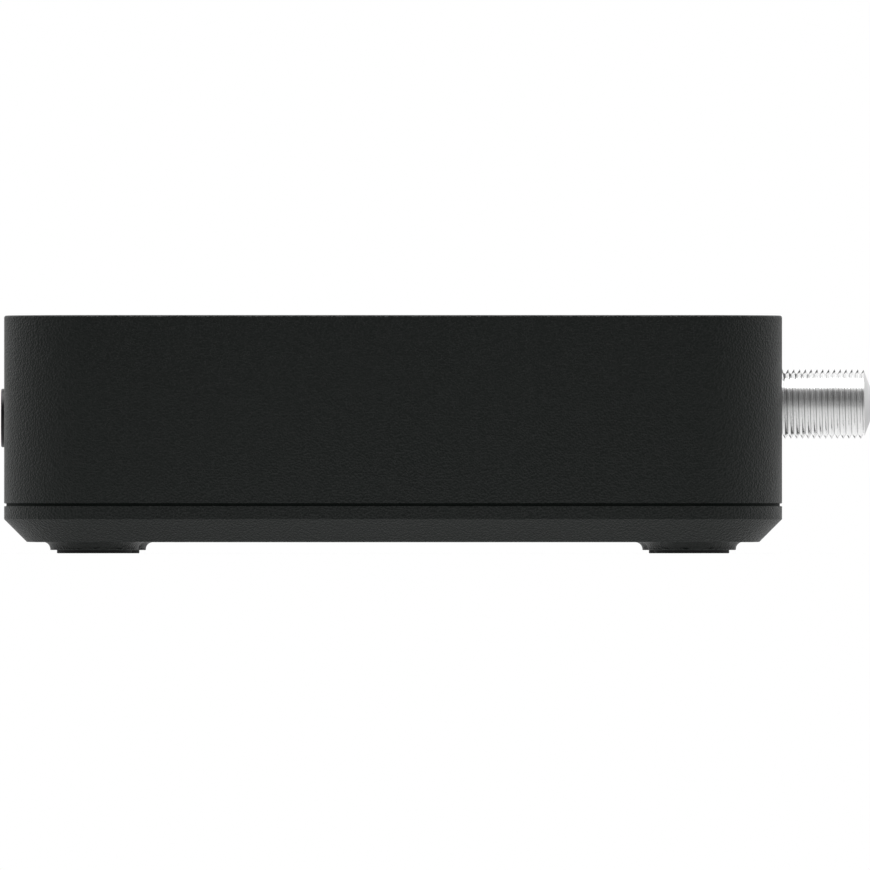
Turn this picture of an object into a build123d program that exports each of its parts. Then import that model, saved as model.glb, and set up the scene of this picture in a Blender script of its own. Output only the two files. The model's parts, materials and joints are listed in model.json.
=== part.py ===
from build123d import *
import math
import os

# Compact satellite television receiver, in millimetres.
# Origin: centre of the overall footprint, on the surface that the rubber feet stand on.
# +X is the right-hand side seen from the front, +Y points to the rear, +Z up.
# Every piece is drawn about the centre of the case and moved by case_y when it is written.

# ---- Case shells ----
case_width = 160.0
case_depth = 106.0
corner_radius = 12.3  # upright corners, seen from above
cover_height = 25.6
wall = 2.0  # walls, top and floor
top_edge_radius = 0.3
base_chamfer = 3.1
base_rim = 1.78  # upright band between the chamfer and the shadow gap
shadow_gap_height = 0.36
shadow_gap_depth = 0.3
lip_thickness = 0.9
lip_height = 1.4
lip_gap = 0.1  # lip to cover wall

# ---- Feet and case screws, concentric at each corner ----
foot_inset = 12.3
foot_boss_radius = 6.0
foot_boss_height = 1.1
foot_boss_root_radius = 1.0
foot_radius = 5.1
foot_proud = 0.45
foot_recess = 0.8
foot_edge_radius = 0.12
foot_gap = 0.05
screw_radius = 1.45
screw_head_radius = 2.8
screw_head_height = 1.9
screw_head_gap = 0.3
screw_length = 12.0
screw_counterbore = 2.4
screw_seat = 2.0
screw_hole_gap = 0.2
pilot_gap = 0.02
pilot_end_gap = 1.0
recess_depth = 0.6  # cross recess, as a share of the head's height
recess_span = 0.55  # as a share of the head's width
recess_slot = 0.3  # width of each arm, as a share of its span
cover_boss_radius = 3.5
base_boss_radius = 4.6
boss_gap = 0.1

# ---- Vents and label recess ----
top_slot_width = 2.0
top_slot_length = 16.0
top_slot_pitch = 4.4
top_slot_count = 21
top_slot_inset = 25.0  # middle of the row, from the rear face
floor_slot_width = 2.0
floor_slot_length = 15.0
floor_slot_pitch = 4.4
floor_slot_count = 13
floor_row_pitch = 21.0
label_width = 52.0
label_depth = 30.0
label_recess = 0.35
label_corner_radius = 2.0
label_x = -42.0

# ---- Main board ----
standoff_height = 5.85
standoff_radius = 3.2
board_thickness = 1.6
board_side_gap = 1.7  # board edge to a cover boss
board_wall_gap = 1.2  # board edge to the left wall
board_rear_gap = 0.4
board_front_gap = 0.5
board_hole_radius = 1.65
board_screw_length = 6.0
board_screw_inset = 5.0

# ---- Front: display window, power button and display board ----
front_axis_rise = 11.71  # window and button middle, above the seam
window_width = 54.0
window_height = 8.0
window_proud = 0.55
window_inset = 23.0  # window's end, from the left-hand side
window_flange = 1.2
window_flange_thickness = 1.0
window_edge_radius = 0.25
window_gap = 0.05
display_gap = 7.4  # front wall to display board
display_board_thickness = 1.2
display_board_drop = 8.6  # front axis to the board's lower edge
display_board_edge = 0.8  # board above its posts
display_width = 30.0
display_height = 10.4
display_thickness = 6.0
display_offset = -3.0  # from the window's middle
ir_offset = 19.5  # from the window's middle
ir_width = 5.0
ir_height = 6.4
ir_thickness = 2.6
ir_dome_radius = 1.9
led_offset = -23.0  # from the window's middle
led_radius = 1.5
led_length = 4.6
led_edge_radius = 1.35
post_radius = 2.2
post_gap = 0.5  # post above the window's flange
post_offset = 16.0  # posts, left of the window's middle and of the button
post_screw_radius = 1.0
post_screw_head_radius = 1.9
post_screw_head_height = 1.4
post_screw_length = 5.0
post_hole_gap = 0.15

button_inset = 30.0  # from the right-hand side
button_radius = 4.0
button_proud = 0.6
button_edge_radius = 0.3
button_gap = 0.15
button_flange = 1.2
button_flange_thickness = 0.9
button_seat_gap = 0.05
button_stem_radius = 1.6
button_travel = 0.35
tact_size = 6.0
tact_thickness = 3.6
plunger_radius = 1.75
plunger_proud = 1.4
plunger_engagement = 1.0
plunger_gap = 0.1
plunger_end_gap = 0.25

header_width = 20.0
header_block = 2.5
header_pin = 0.6
header_pitch = 2.0
header_count = 9
header_x = 8.0

# ---- Rear panel ----
panel_thickness = 1.2
panel_recess = 0.8  # below the cover's rear face
panel_border = 1.5  # panel beyond its window on each side
panel_gap = 0.1
panel_corner_radius = 1.5
rear_window_height = 18.2
rear_window_rise = 3.3  # window's lower edge above the seam
rear_margin = 6.0  # first and last socket, from the ends of the flat
rear_window_side = 1.5  # window beyond the first and last socket
cutout_gap = 0.2
socket_proud = 0.4  # sheet metal sockets beyond the panel's face

# ---- Tuner and antenna input, a 3/8-32 threaded coaxial socket ----
tuner_width = 22.0
tuner_depth = 38.0
shield_thickness = 0.5
shield_hole_radius = 1.0
shield_hole_pitch = 5.0
tuner_chip_size = 7.0
tuner_chip_height = 1.0
tuner_screw_gap = 5.0  # shield to the board screw in front of it
lnb_rise = 9.4  # socket axis above the board
lnb_radius = 4.75
lnb_length = 12.2  # beyond the cover's rear face
lnb_tip_length = 0.95
lnb_mouth_radius = 2.3
lnb_bore_radius = 2.1
lnb_flange_radius = 5.8
lnb_flange_thickness = 1.0
lnb_panel_gap = 0.4
lnb_shield_gap = 0.1
thread_pitch = 25.4 / 32
thread_depth = 0.5
thread_land = 0.1
thread_start_gap = 0.1
insulator_recess = 0.35
contact_radius = 0.8
contact_bore_radius = 0.5
contact_recess = 0.6
contact_bore_depth = 6.0

# ---- Network socket ----
lan_width = 16.0
lan_height = 13.4
lan_depth = 21.0
lan_opening_width = 11.8
lan_opening_height = 8.4
lan_opening_depth = 13.0
lan_opening_sill = 1.3
lan_latch_width = 6.2
lan_latch_height = 1.5
lan_contact_count = 8
lan_contact_pitch = 1.02
lan_contact_width = 0.4
lan_contact_length = 8.5
lan_contact_height = 0.9
lan_lamp_width = 2.6
lan_lamp_height = 1.6
lan_lamp_depth = 1.2
lan_lamp_margin = 0.7

# ---- Double data socket ----
usb_width = 14.5
usb_height = 15.6
usb_depth = 17.4
usb_opening_width = 12.5
usb_opening_height = 5.1
usb_opening_pitch = 7.4
usb_opening_depth = 9.5
usb_sill = 1.55
usb_opening_radius = 0.3
usb_tongue_width = 11.0
usb_tongue_thickness = 1.8
usb_tongue_inset = 0.9
usb_tongue_drop = 0.6

# ---- Digital picture and sound socket ----
hdmi_width = 15.0
hdmi_height = 5.8
hdmi_depth = 11.4
hdmi_wall = 0.45
hdmi_corner = 1.6  # cut corners along the lower edge
hdmi_opening_depth = 8.6
hdmi_tongue_width = 10.8
hdmi_tongue_thickness = 1.4
hdmi_tongue_inset = 1.3
hdmi_shelf = 0.3  # board to the socket's underside
hdmi_foot_length = 3.0

# ---- Optical sound output with a hinged shutter ----
optical_width = 10.0
optical_height = 10.2
optical_depth = 13.2
optical_opening = 8.2
optical_lens_radius = 1.3
optical_lens_depth = 2.0
shutter_thickness = 0.7
shutter_gap = 0.15
shutter_setback = 0.5
shutter_pin_radius = 0.4
shutter_pin_gap = 0.06
shutter_pin_length = 0.5

# ---- Power input ----
dc_width = 9.0
dc_height = 11.0
dc_depth = 14.2
dc_rise = 6.4
dc_bore_radius = 3.15
dc_bore_depth = 9.6
dc_pin_radius = 1.0
dc_pin_setback = 0.8

# ---- Power switch, a rocker across the panel ----
rocker_bezel_width = 15.0
rocker_bezel_height = 9.4
rocker_body_width = 13.6
rocker_body_height = 8.6
rocker_body_depth = 11.0
rocker_radius = 6.0
rocker_height = 6.8
rocker_gap = 0.15
rocker_tilt = 12.0  # each way from level
rocker_waist = 1.2  # front face above the pivot, at its middle
rocker_skirt = 2.4  # back of the rocker below the pivot
rocker_pivot_depth = 1.2  # below the bezel's face
rocker_pin_radius = 0.9
rocker_pin_gap = 0.06
rocker_pin_length = 0.4
rocker_well_gap = 0.6
rocker_leg = 1.0
rocker_leg_pitch = 4.7

# ---- Smart card reader ----
card_slot_width = 55.6
card_slot_height = 2.4
card_slot_lead = 0.7
card_reader_width = 60.0
card_reader_depth = 44.0
card_reader_height = 3.4
card_reader_gap = 0.6  # reader to the left wall
card_reader_slot_width = 54.8
card_reader_slot_height = 1.4
card_reader_slot_depth = 38.0
card_reader_slot_rise = 1.0
card_contact_inset = 22.8  # middle of the contacts, from the reader's mouth
card_contact_size = 1.8
card_contact_height = 0.4
card_contact_pitch_x = 7.6
card_contact_pitch_y = 2.54
card_reader_y = 0.0

# ---- Parts on the main board ----
chip_x = 6.0
chip_y = -13.0
chip_size = 23.0
chip_height = 1.6
pad_thickness = 0.6
heatsink_size = 34.0
heatsink_base = 2.0
heatsink_fin_height = 7.0
heatsink_fin_thickness = 1.2
heatsink_fin_count = 9
memory_width = 9.0
memory_depth = 13.0
memory_height = 1.1
memory_gap = 4.0  # to the heatsink
memory_pitch = 15.5
flash_width = 12.0
flash_depth = 18.0
flash_height = 1.0
flash_gap = 4.0  # to the heatsink
flash_y = 0.0
radio_width = 15.0
radio_depth = 22.0
radio_board = 1.0
radio_can_height = 1.8
radio_can_margin = 1.0
radio_can_depth = 13.0
radio_side_gap = 8.0  # to the board's right-hand edge
radio_front_gap = 6.9  # to the board's front edge
coil_size = 7.0
coil_height = 4.0
coil_corner_radius = 1.2
coil_x = -21.5
coil_y = 14.0
coil_pitch = 9.5
coil_count = 2
capacitor_radius = 4.0
capacitor_height = 10.5
capacitor_groove = 0.3
capacitor_x = -10.5
capacitor_y = 15.5
capacitor_pitch = 10.0
capacitor_count = 2
crystal_width = 11.2
crystal_depth = 4.6
crystal_height = 3.4
crystal_corner_radius = 2.1
crystal_gap = 3.0  # to the heatsink

# ---- Worked out from the sizes above ----
case_y = (button_proud - lnb_length) / 2
floor_bottom = foot_proud + foot_boss_height
floor_top = floor_bottom + wall
chamfer_top = floor_bottom + base_chamfer
shadow_gap_bottom = chamfer_top + base_rim
seam = shadow_gap_bottom + shadow_gap_height
cover_top = seam + cover_height
ceiling = cover_top - wall
base_wall = wall + lip_gap + lip_thickness
front_face = -case_depth / 2
rear_face = case_depth / 2
left_face = -case_width / 2
front_inside = front_face + wall
screw_x = case_width / 2 - foot_inset
screw_y = case_depth / 2 - foot_inset
corners = [(x, y) for x in (-screw_x, screw_x) for y in (-screw_y, screw_y)]
foot_top = foot_proud + foot_recess
head_seat = foot_top + screw_counterbore
base_boss_top = head_seat + screw_seat

board_bottom = floor_top + standoff_height
board_top = board_bottom + board_thickness
optical_opening_depth = shutter_setback + shutter_thickness + optical_opening + shutter_gap
board_half_width = screw_x - cover_boss_radius - board_side_gap
board_tab_half = screw_y - cover_boss_radius - board_side_gap
board_left = left_face + wall + board_wall_gap

front_axis = seam + front_axis_rise
display_front = front_inside + display_gap
display_back = display_front + display_board_thickness
board_front = display_back + board_front_gap
window_x = left_face + window_inset + window_width / 2
button_x = case_width / 2 - button_inset
display_x = window_x + display_offset
ir_x = window_x + ir_offset
led_x = window_x + led_offset
post_z = front_axis + window_height / 2 + window_flange + post_gap + post_radius
posts_at = [(window_x - post_offset, post_z), (button_x - post_offset, post_z)]

panel_face = rear_face - panel_recess
panel_back = panel_face - panel_thickness
board_rear = panel_back - board_rear_gap
window_bottom = seam + rear_window_rise
socket_face = panel_face + socket_proud
rear_flat = case_width / 2 - corner_radius
rear_window_width = 2 * (rear_flat - rear_margin + rear_window_side)
lnb_axis = board_top + lnb_rise
tuner_height = lnb_rise + lnb_flange_radius + lnb_shield_gap + shield_thickness

heatsink_left = chip_x - heatsink_size / 2
heatsink_right = chip_x + heatsink_size / 2
memory_x = heatsink_left - memory_gap - memory_width / 2
flash_x = heatsink_right + flash_gap + flash_width / 2
crystal_y = chip_y + heatsink_size / 2 + crystal_gap + crystal_depth / 2
radio_x = board_half_width - radio_side_gap - radio_width / 2
radio_y = board_front + radio_front_gap + radio_depth / 2

# Sockets stand in a row from the right-hand end of the rear wall, evenly spaced.
row_widths = {
    "tuner": tuner_width,
    "lan": lan_width,
    "usb": usb_width,
    "hdmi": hdmi_width,
    "optical": optical_width,
    "dc": dc_width,
    "rocker": rocker_bezel_width,
}
row_length = 2 * (rear_flat - rear_margin)
row_gap = (row_length - sum(row_widths.values())) / (len(row_widths) - 1)
row_x = {}
row_edge = row_length / 2
for socket, socket_width in row_widths.items():
    row_x[socket] = row_edge - socket_width / 2
    row_edge -= socket_width + row_gap

board_screws_at = [
    (-board_half_width + board_screw_inset, board_front + board_screw_inset),
    (board_half_width - board_screw_inset, board_front + board_screw_inset),
    (-board_half_width + board_screw_inset, card_reader_y + card_reader_width / 2 + board_screw_inset),
    (board_half_width - board_screw_inset, panel_back - tuner_depth - tuner_screw_gap),
]


def block(x, y, z, width, depth, height):
    """A box centred on x, from y backwards (towards the front) and from z upwards."""
    return Pos(x, y - depth / 2, z + height / 2) * Box(width, depth, height)


def on_board(x, y, width, depth, height, z=None):
    """A box centred on x and y, standing on the main board or at z."""
    base = board_top if z is None else z
    return Pos(x, y, base + height / 2) * Box(width, depth, height)


def upright(x, y, z, radius, height):
    """A cylinder that rises from z."""
    return Pos(x, y, z + height / 2) * Cylinder(radius, height)


def lengthwise(x, y, z, radius, length):
    """A cylinder along Y, from y towards the front by length."""
    return Pos(x, y - length / 2, z) * Rot(90, 0, 0) * Cylinder(radius, length)


def slab(width, depth, radius, bottom, top):
    """An upright block with rounded corners, centred on the case."""
    return Pos(0, 0, bottom) * extrude(RectangleRounded(width, depth, radius), top - bottom)


def facing(sketch, x, y, z, depth):
    """A flat outline that stands across the case, pushed from y towards the front by depth."""
    return Pos(x, y, z) * Rot(90, 0, 0) * extrude(sketch, depth)


def turned(points, x, z):
    """A solid of revolution about a line along Y, from (radius, y) points."""
    return Pos(x, 0, z) * revolve(make_face(Polyline(*points, close=True)), Axis.Y)


def screw(radius, length, head_radius, head_height):
    """A pan head screw with a cross recess that points up: head below z = 0, shank above it."""
    head = upright(0, 0, -head_height, head_radius, head_height)
    head = fillet(head.edges().group_by(Axis.Z)[0], head_height / 3)
    shank = upright(0, 0, 0, radius, length)
    shank = chamfer(shank.edges().group_by(Axis.Z)[-1], radius / 2)
    span = 2 * head_radius * recess_span
    depth = head_height * recess_depth
    arm = Pos(0, 0, depth / 2 - head_height) * Box(span, span * recess_slot, depth)
    return head + shank - arm - Rot(0, 0, 90) * arm


def slot_row(count, pitch, width, length, y, bottom, top):
    """A row of round-ended slots across the case, as one cutter."""
    cutters = Part()
    for i in range(count):
        x = (i - (count - 1) / 2) * pitch
        cutters += Pos(x, y, bottom) * extrude(SlotOverall(length, width, rotation=90), top - bottom)
    return cutters


# ---------------- Case ----------------
def make_top_cover():
    shell = slab(case_width, case_depth, corner_radius, seam, cover_top)
    shell = fillet(shell.edges().group_by(Axis.Z)[-1], top_edge_radius)
    shell -= slab(
        case_width - 2 * wall, case_depth - 2 * wall, corner_radius - wall, seam, ceiling
    )
    # screw bosses hang from the ceiling at each corner
    boss_bottom = base_boss_top + boss_gap
    pilot_top = head_seat + screw_length + pilot_end_gap
    for x, y in corners:
        shell += upright(x, y, boss_bottom, cover_boss_radius, ceiling - boss_bottom)
    for x, y in corners:
        shell -= upright(x, y, boss_bottom, screw_radius + pilot_gap, pilot_top - boss_bottom)
    # posts on the front wall carry the display board
    for x, z in posts_at:
        shell += lengthwise(x, display_front, z, post_radius, display_gap)
        pilot = post_screw_radius + pilot_gap
        shell -= lengthwise(x, display_front, z, pilot, post_screw_length)
    # front openings
    opening = SlotOverall(window_width + 2 * window_gap, window_height + 2 * window_gap)
    shell -= facing(opening, window_x, front_inside, front_axis, wall)
    shell -= lengthwise(button_x, front_inside, front_axis, button_radius + button_gap, wall)
    # rear window, with a rebate on its inner side for the panel
    middle = window_bottom + rear_window_height / 2
    mouth = RectangleRounded(rear_window_width, rear_window_height, panel_corner_radius)
    shell -= facing(mouth, 0, rear_face, middle, wall)
    seat = RectangleRounded(
        rear_window_width + 2 * panel_border,
        rear_window_height + 2 * panel_border,
        panel_corner_radius,
    )
    shell -= facing(seat, 0, panel_face, middle, wall - panel_recess)
    # card slot in the left wall, with a tapered lead
    slot_middle = board_top + card_reader_slot_rise + card_reader_slot_height / 2
    shell -= Pos(left_face + wall / 2, card_reader_y, slot_middle) * Box(
        wall, card_slot_width, card_slot_height
    )
    outer = Rectangle(card_slot_width + 2 * card_slot_lead, card_slot_height + 2 * card_slot_lead)
    inner = Rectangle(card_slot_width, card_slot_height)
    lead = loft([outer, Pos(0, 0, card_slot_lead) * inner])
    shell -= Pos(left_face, card_reader_y, slot_middle) * Rot(90, 0, 90) * lead
    # vent slots over the sockets
    shell -= slot_row(
        top_slot_count,
        top_slot_pitch,
        top_slot_width,
        top_slot_length,
        rear_face - top_slot_inset,
        ceiling,
        cover_top,
    )
    return shell


def make_base_tray():
    tray = slab(case_width, case_depth, corner_radius, floor_bottom, seam)
    tray = chamfer(tray.edges().group_by(Axis.Z)[0], base_chamfer)
    lip_inset = 2 * (wall + lip_gap)
    tray += slab(
        case_width - lip_inset,
        case_depth - lip_inset,
        corner_radius - wall - lip_gap,
        shadow_gap_bottom,
        seam + lip_height,
    )
    well = slab(
        case_width - 2 * base_wall,
        case_depth - 2 * base_wall,
        corner_radius - base_wall,
        floor_top,
        seam + lip_height,
    )
    well_chamfer = base_chamfer + wall * math.sqrt(2) - base_wall - wall
    tray -= chamfer(well.edges().group_by(Axis.Z)[0], max(well_chamfer, lip_gap))
    # shadow gap round the rim
    gap_ring = slab(case_width, case_depth, corner_radius, shadow_gap_bottom, seam)
    gap_ring -= slab(
        case_width - 2 * shadow_gap_depth,
        case_depth - 2 * shadow_gap_depth,
        corner_radius - shadow_gap_depth,
        shadow_gap_bottom,
        seam,
    )
    tray -= gap_ring
    # foot bosses flare into the underside, and a screw boss rises above each
    flare = min(foot_boss_root_radius, foot_boss_height - foot_gap)
    root = foot_boss_radius + flare
    outline = [
        Line((0, foot_proud), (foot_boss_radius, foot_proud)),
        Line((foot_boss_radius, foot_proud), (foot_boss_radius, floor_bottom - flare)),
        CenterArc((root, floor_bottom - flare), flare, 90, 90),
        Line((root, floor_bottom), (root, floor_top)),
        Line((root, floor_top), (0, floor_top)),
        Line((0, floor_top), (0, foot_proud)),
    ]
    foot_boss = Rot(90, 0, 0) * revolve(make_face(outline), Axis.Y)
    for x, y in corners:
        tray += Pos(x, y, 0) * foot_boss
        tray += upright(x, y, floor_bottom, base_boss_radius, base_boss_top - floor_bottom)
    for x, y in corners:
        tray -= upright(x, y, foot_proud, foot_radius + foot_gap, foot_recess)
        tray -= upright(x, y, foot_top, screw_head_radius + screw_head_gap, screw_counterbore)
        tray -= upright(x, y, head_seat, screw_radius + screw_hole_gap, screw_seat)
    # standoffs for the main board
    for x, y in board_screws_at:
        foot = floor_bottom + wall / 2
        tray += upright(x, y, foot, standoff_radius, board_bottom - foot)
        pilot_bottom = board_top - board_screw_length
        tray -= upright(x, y, pilot_bottom, screw_radius + pilot_gap, board_bottom - pilot_bottom)
    # vents under the processor and a blank recess for a rating plate
    for row in (-1, 1):
        cutters = slot_row(
            floor_slot_count,
            floor_slot_pitch,
            floor_slot_width,
            floor_slot_length,
            chip_y + row * floor_row_pitch / 2,
            floor_bottom,
            floor_top,
        )
        tray -= Pos(chip_x + radio_depth / 2, 0, 0) * cutters
    plate = RectangleRounded(label_width, label_depth, label_corner_radius)
    tray -= Pos(label_x, 0, floor_bottom) * extrude(plate, label_recess)
    return tray


def make_foot():
    """One rubber foot, a disc pressed into its recess."""
    disc = upright(0, 0, 0, foot_radius, foot_top)
    return fillet(disc.edges().group_by(Axis.Z)[0], foot_edge_radius)


def make_case_screws():
    one = screw(screw_radius, screw_length, screw_head_radius, screw_head_height)
    return [Pos(x, y, head_seat) * one for x, y in corners]


def make_rear_panel():
    border = 2 * panel_border - 2 * panel_gap
    outline = RectangleRounded(
        rear_window_width + border, rear_window_height + border, panel_corner_radius
    )
    middle = window_bottom + rear_window_height / 2
    panel = facing(outline, 0, panel_face, middle, panel_thickness)
    barrel_hole = lnb_radius + lnb_panel_gap
    panel -= lengthwise(row_x["tuner"], panel_face, lnb_axis, barrel_hole, panel_thickness)
    for name, height, bottom in (
        ("lan", lan_height, board_top),
        ("usb", usb_height, board_top),
        ("hdmi", hdmi_height, board_top + hdmi_shelf),
        ("optical", optical_height, board_top),
        ("dc", dc_height, board_top),
    ):
        panel -= block(
            row_x[name],
            panel_face,
            bottom - cutout_gap,
            row_widths[name] + 2 * cutout_gap,
            panel_thickness,
            height + 2 * cutout_gap,
        )
    panel -= block(
        row_x["rocker"],
        panel_face,
        lnb_axis - rocker_body_height / 2 - cutout_gap / 2,
        rocker_body_width + cutout_gap,
        panel_thickness,
        rocker_body_height + cutout_gap,
    )
    return panel


# ---------------- Front ----------------
def make_front_window():
    proud = facing(
        SlotOverall(window_width, window_height), window_x, front_inside, front_axis, wall + window_proud
    )
    proud = fillet(proud.edges().group_by(Axis.Y)[0], window_edge_radius)
    flange = SlotOverall(window_width + 2 * window_flange, window_height + 2 * window_flange)
    back = front_inside + window_flange_thickness
    return proud + facing(flange, window_x, back, front_axis, window_flange_thickness)


def make_power_button():
    back = front_inside + button_seat_gap
    cap = lengthwise(button_x, back, front_axis, button_radius, wall + button_proud + button_seat_gap)
    cap = fillet(cap.edges().group_by(Axis.Y)[0], button_edge_radius)
    flange_back = back + button_flange_thickness
    cap += lengthwise(
        button_x, flange_back, front_axis, button_radius + button_flange, button_flange_thickness
    )
    plunger_tip = display_front - tact_thickness - plunger_proud
    cap += lengthwise(button_x, plunger_tip, front_axis, button_stem_radius, plunger_tip - flange_back)
    return cap


def make_button_switch():
    """The push switch behind the button, with a well for its plunger."""
    body = block(button_x, display_front, front_axis - tact_size / 2, tact_size, tact_thickness, tact_size)
    well = plunger_engagement + button_travel + plunger_end_gap
    mouth = display_front - tact_thickness
    return body - lengthwise(button_x, mouth + well, front_axis, plunger_radius + plunger_gap, well)


def make_switch_plunger():
    mouth = display_front - tact_thickness
    length = plunger_engagement + plunger_proud
    return lengthwise(button_x, mouth + plunger_engagement, front_axis, plunger_radius, length)


def make_display_board():
    bottom = front_axis - display_board_drop
    height = post_z + post_radius + display_board_edge - bottom
    board = block(0, display_back, bottom, 2 * board_half_width, display_board_thickness, height)
    for x, z in posts_at:
        hole = post_screw_radius + post_hole_gap
        board -= lengthwise(x, display_back, z, hole, display_board_thickness)
    return board


def make_display_screws():
    one = screw(
        post_screw_radius, post_screw_length, post_screw_head_radius, post_screw_head_height
    )
    return [Pos(x, display_back, z) * Rot(90, 0, 0) * one for x, z in posts_at]


def make_display_module():
    return block(
        display_x,
        display_front,
        front_axis - display_height / 2,
        display_width,
        display_thickness,
        display_height,
    )


def make_infrared_receiver():
    body = block(ir_x, display_front, front_axis - ir_height / 2, ir_width, ir_thickness, ir_height)
    dome = Pos(ir_x, display_front - ir_thickness, front_axis) * Sphere(ir_dome_radius)
    return body + dome


def make_standby_lamp():
    lamp = lengthwise(led_x, display_front, front_axis, led_radius, led_length)
    return fillet(lamp.edges().group_by(Axis.Y)[0], led_edge_radius)


def make_board_header():
    back = board_front + header_block
    header = block(header_x, back, board_top, header_width, header_block, header_block)
    for i in range(header_count):
        x = header_x + (i - (header_count - 1) / 2) * header_pitch
        z = board_top + header_block / 2 - header_pin / 2
        header += block(x, board_front, z, header_pin, board_front_gap, header_pin)
    return header


# ---------------- Main board ----------------
def make_main_board():
    depth = board_rear - board_front
    board = block(0, board_rear, board_bottom, 2 * board_half_width, depth, board_thickness)
    tab_width = board_half_width + board_left * -1
    tab_middle = (board_half_width - board_left * -1) / 2
    board += block(
        tab_middle, board_tab_half, board_bottom, tab_width, 2 * board_tab_half, board_thickness
    )
    for x, y in board_screws_at:
        board -= upright(x, y, board_bottom, board_hole_radius, board_thickness)
    return board


def make_board_screws():
    one = screw(screw_radius, board_screw_length, screw_head_radius, screw_head_height)
    return [Pos(x, y, board_top) * Rot(180, 0, 0) * one for x, y in board_screws_at]


def make_tuner_shield():
    back = panel_back
    x = row_x["tuner"]
    can = block(x, back, board_top, tuner_width, tuner_depth, tuner_height)
    can = fillet(can.edges().filter_by(Axis.Z), shield_thickness)
    can -= block(
        x,
        back - shield_thickness,
        board_top,
        tuner_width - 2 * shield_thickness,
        tuner_depth - 2 * shield_thickness,
        tuner_height - shield_thickness,
    )
    barrel_hole = lnb_radius - thread_depth + lnb_shield_gap
    can -= lengthwise(x, back, lnb_axis, barrel_hole, shield_thickness)
    lid = board_top + tuner_height - shield_thickness
    for i in (-1, 0, 1):
        for j in (-2, -1, 0, 1, 2):
            hole_x = x + i * shield_hole_pitch
            hole_y = back - tuner_depth / 2 + j * shield_hole_pitch
            can -= upright(hole_x, hole_y, lid, shield_hole_radius, shield_thickness)
    return can


def make_tuner_chip():
    x = row_x["tuner"]
    y = panel_back - tuner_depth / 2
    return on_board(x, y, tuner_chip_size, tuner_chip_size, tuner_chip_height)


def make_lnb_socket():
    """Threaded barrel on a flange inside the shield, with its thread drawn as rings."""
    root_radius = lnb_radius - thread_depth
    shield_inside = panel_back - shield_thickness
    tip = rear_face + lnb_length
    last_crest = tip - lnb_tip_length - thread_land
    thread_start = panel_face + thread_start_gap
    flank = (thread_pitch - 2 * thread_land) / 2
    turns = int((last_crest - flank - thread_start) / thread_pitch) + 1
    points = [
        (lnb_bore_radius, shield_inside - lnb_flange_thickness),
        (lnb_flange_radius, shield_inside - lnb_flange_thickness),
        (lnb_flange_radius, shield_inside),
        (root_radius, shield_inside),
    ]
    for i in range(turns):
        crest = last_crest - (turns - 1 - i) * thread_pitch
        points.append((root_radius, crest - flank))
        points.append((lnb_radius, crest))
        points.append((lnb_radius, crest + thread_land))
        if i < turns - 1:
            points.append((root_radius, crest + thread_land + flank))
    points.append((lnb_mouth_radius, tip))
    points.append((lnb_bore_radius, tip))
    return turned(points, row_x["tuner"], lnb_axis)


def make_lnb_insulator():
    start = panel_back - shield_thickness - lnb_flange_thickness
    face = rear_face + lnb_length - insulator_recess
    core = lengthwise(row_x["tuner"], face, lnb_axis, lnb_bore_radius, face - start)
    return core - lengthwise(row_x["tuner"], face, lnb_axis, contact_radius, face - start)


def make_lnb_contact():
    start = panel_back - shield_thickness - lnb_flange_thickness
    face = rear_face + lnb_length - contact_recess
    pin = lengthwise(row_x["tuner"], face, lnb_axis, contact_radius, face - start)
    return pin - lengthwise(row_x["tuner"], face, lnb_axis, contact_bore_radius, contact_bore_depth)


def make_lan_socket():
    x = row_x["lan"]
    body = block(x, socket_face, board_top, lan_width, lan_depth, lan_height)
    body = fillet(body.edges().filter_by(Axis.Y), shield_thickness)
    sill = board_top + lan_opening_sill
    body -= block(x, socket_face, sill, lan_opening_width, lan_opening_depth, lan_opening_height)
    latch = sill + lan_opening_height
    body -= block(x, socket_face, latch, lan_latch_width, lan_opening_depth, lan_latch_height)
    for pocket in lan_lamp_places():
        body -= pocket
    return body


def lan_lamp_places():
    """The two lamp windows, one above each shoulder of the opening."""
    x = row_x["lan"]
    z = board_top + lan_height - lan_lamp_margin - lan_lamp_height
    reach = lan_width / 2 - lan_lamp_margin - lan_lamp_width / 2
    return [
        block(x + side * reach, socket_face, z, lan_lamp_width, lan_lamp_depth, lan_lamp_height)
        for side in (-1, 1)
    ]


def make_lan_contacts():
    """Eight spring wires that lie on the opening's floor."""
    sill = board_top + lan_opening_sill
    back = socket_face - lan_opening_depth + lan_contact_length
    wires = []
    for i in range(lan_contact_count):
        x = row_x["lan"] + (i - (lan_contact_count - 1) / 2) * lan_contact_pitch
        wires.append(block(x, back, sill, lan_contact_width, lan_contact_length, lan_contact_height))
    return wires


def usb_sills():
    return [board_top + usb_sill + row * usb_opening_pitch for row in (0, 1)]


def make_usb_socket():
    x = row_x["usb"]
    body = block(x, socket_face, board_top, usb_width, usb_depth, usb_height)
    body = fillet(body.edges().filter_by(Axis.Y), shield_thickness)
    mouth = RectangleRounded(usb_opening_width, usb_opening_height, usb_opening_radius)
    for z in usb_sills():
        body -= facing(mouth, x, socket_face, z + usb_opening_height / 2, usb_opening_depth)
    return body


def make_usb_tongues():
    back = socket_face - usb_tongue_inset
    depth = usb_opening_depth - usb_tongue_inset
    return [
        block(
            row_x["usb"],
            back,
            z + usb_opening_height - usb_tongue_drop - usb_tongue_thickness,
            usb_tongue_width,
            depth,
            usb_tongue_thickness,
        )
        for z in usb_sills()
    ]


def hdmi_outline(inset):
    """The socket's outline with its two lower corners cut."""
    half = hdmi_width / 2 - inset
    top = hdmi_height / 2 - inset
    cut = max(hdmi_corner - inset / 2, inset)
    points = [
        (-half, top),
        (half, top),
        (half, -top + cut),
        (half - cut, -top),
        (-half + cut, -top),
        (-half, -top + cut),
    ]
    return make_face(Polyline(*points, close=True))


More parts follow.
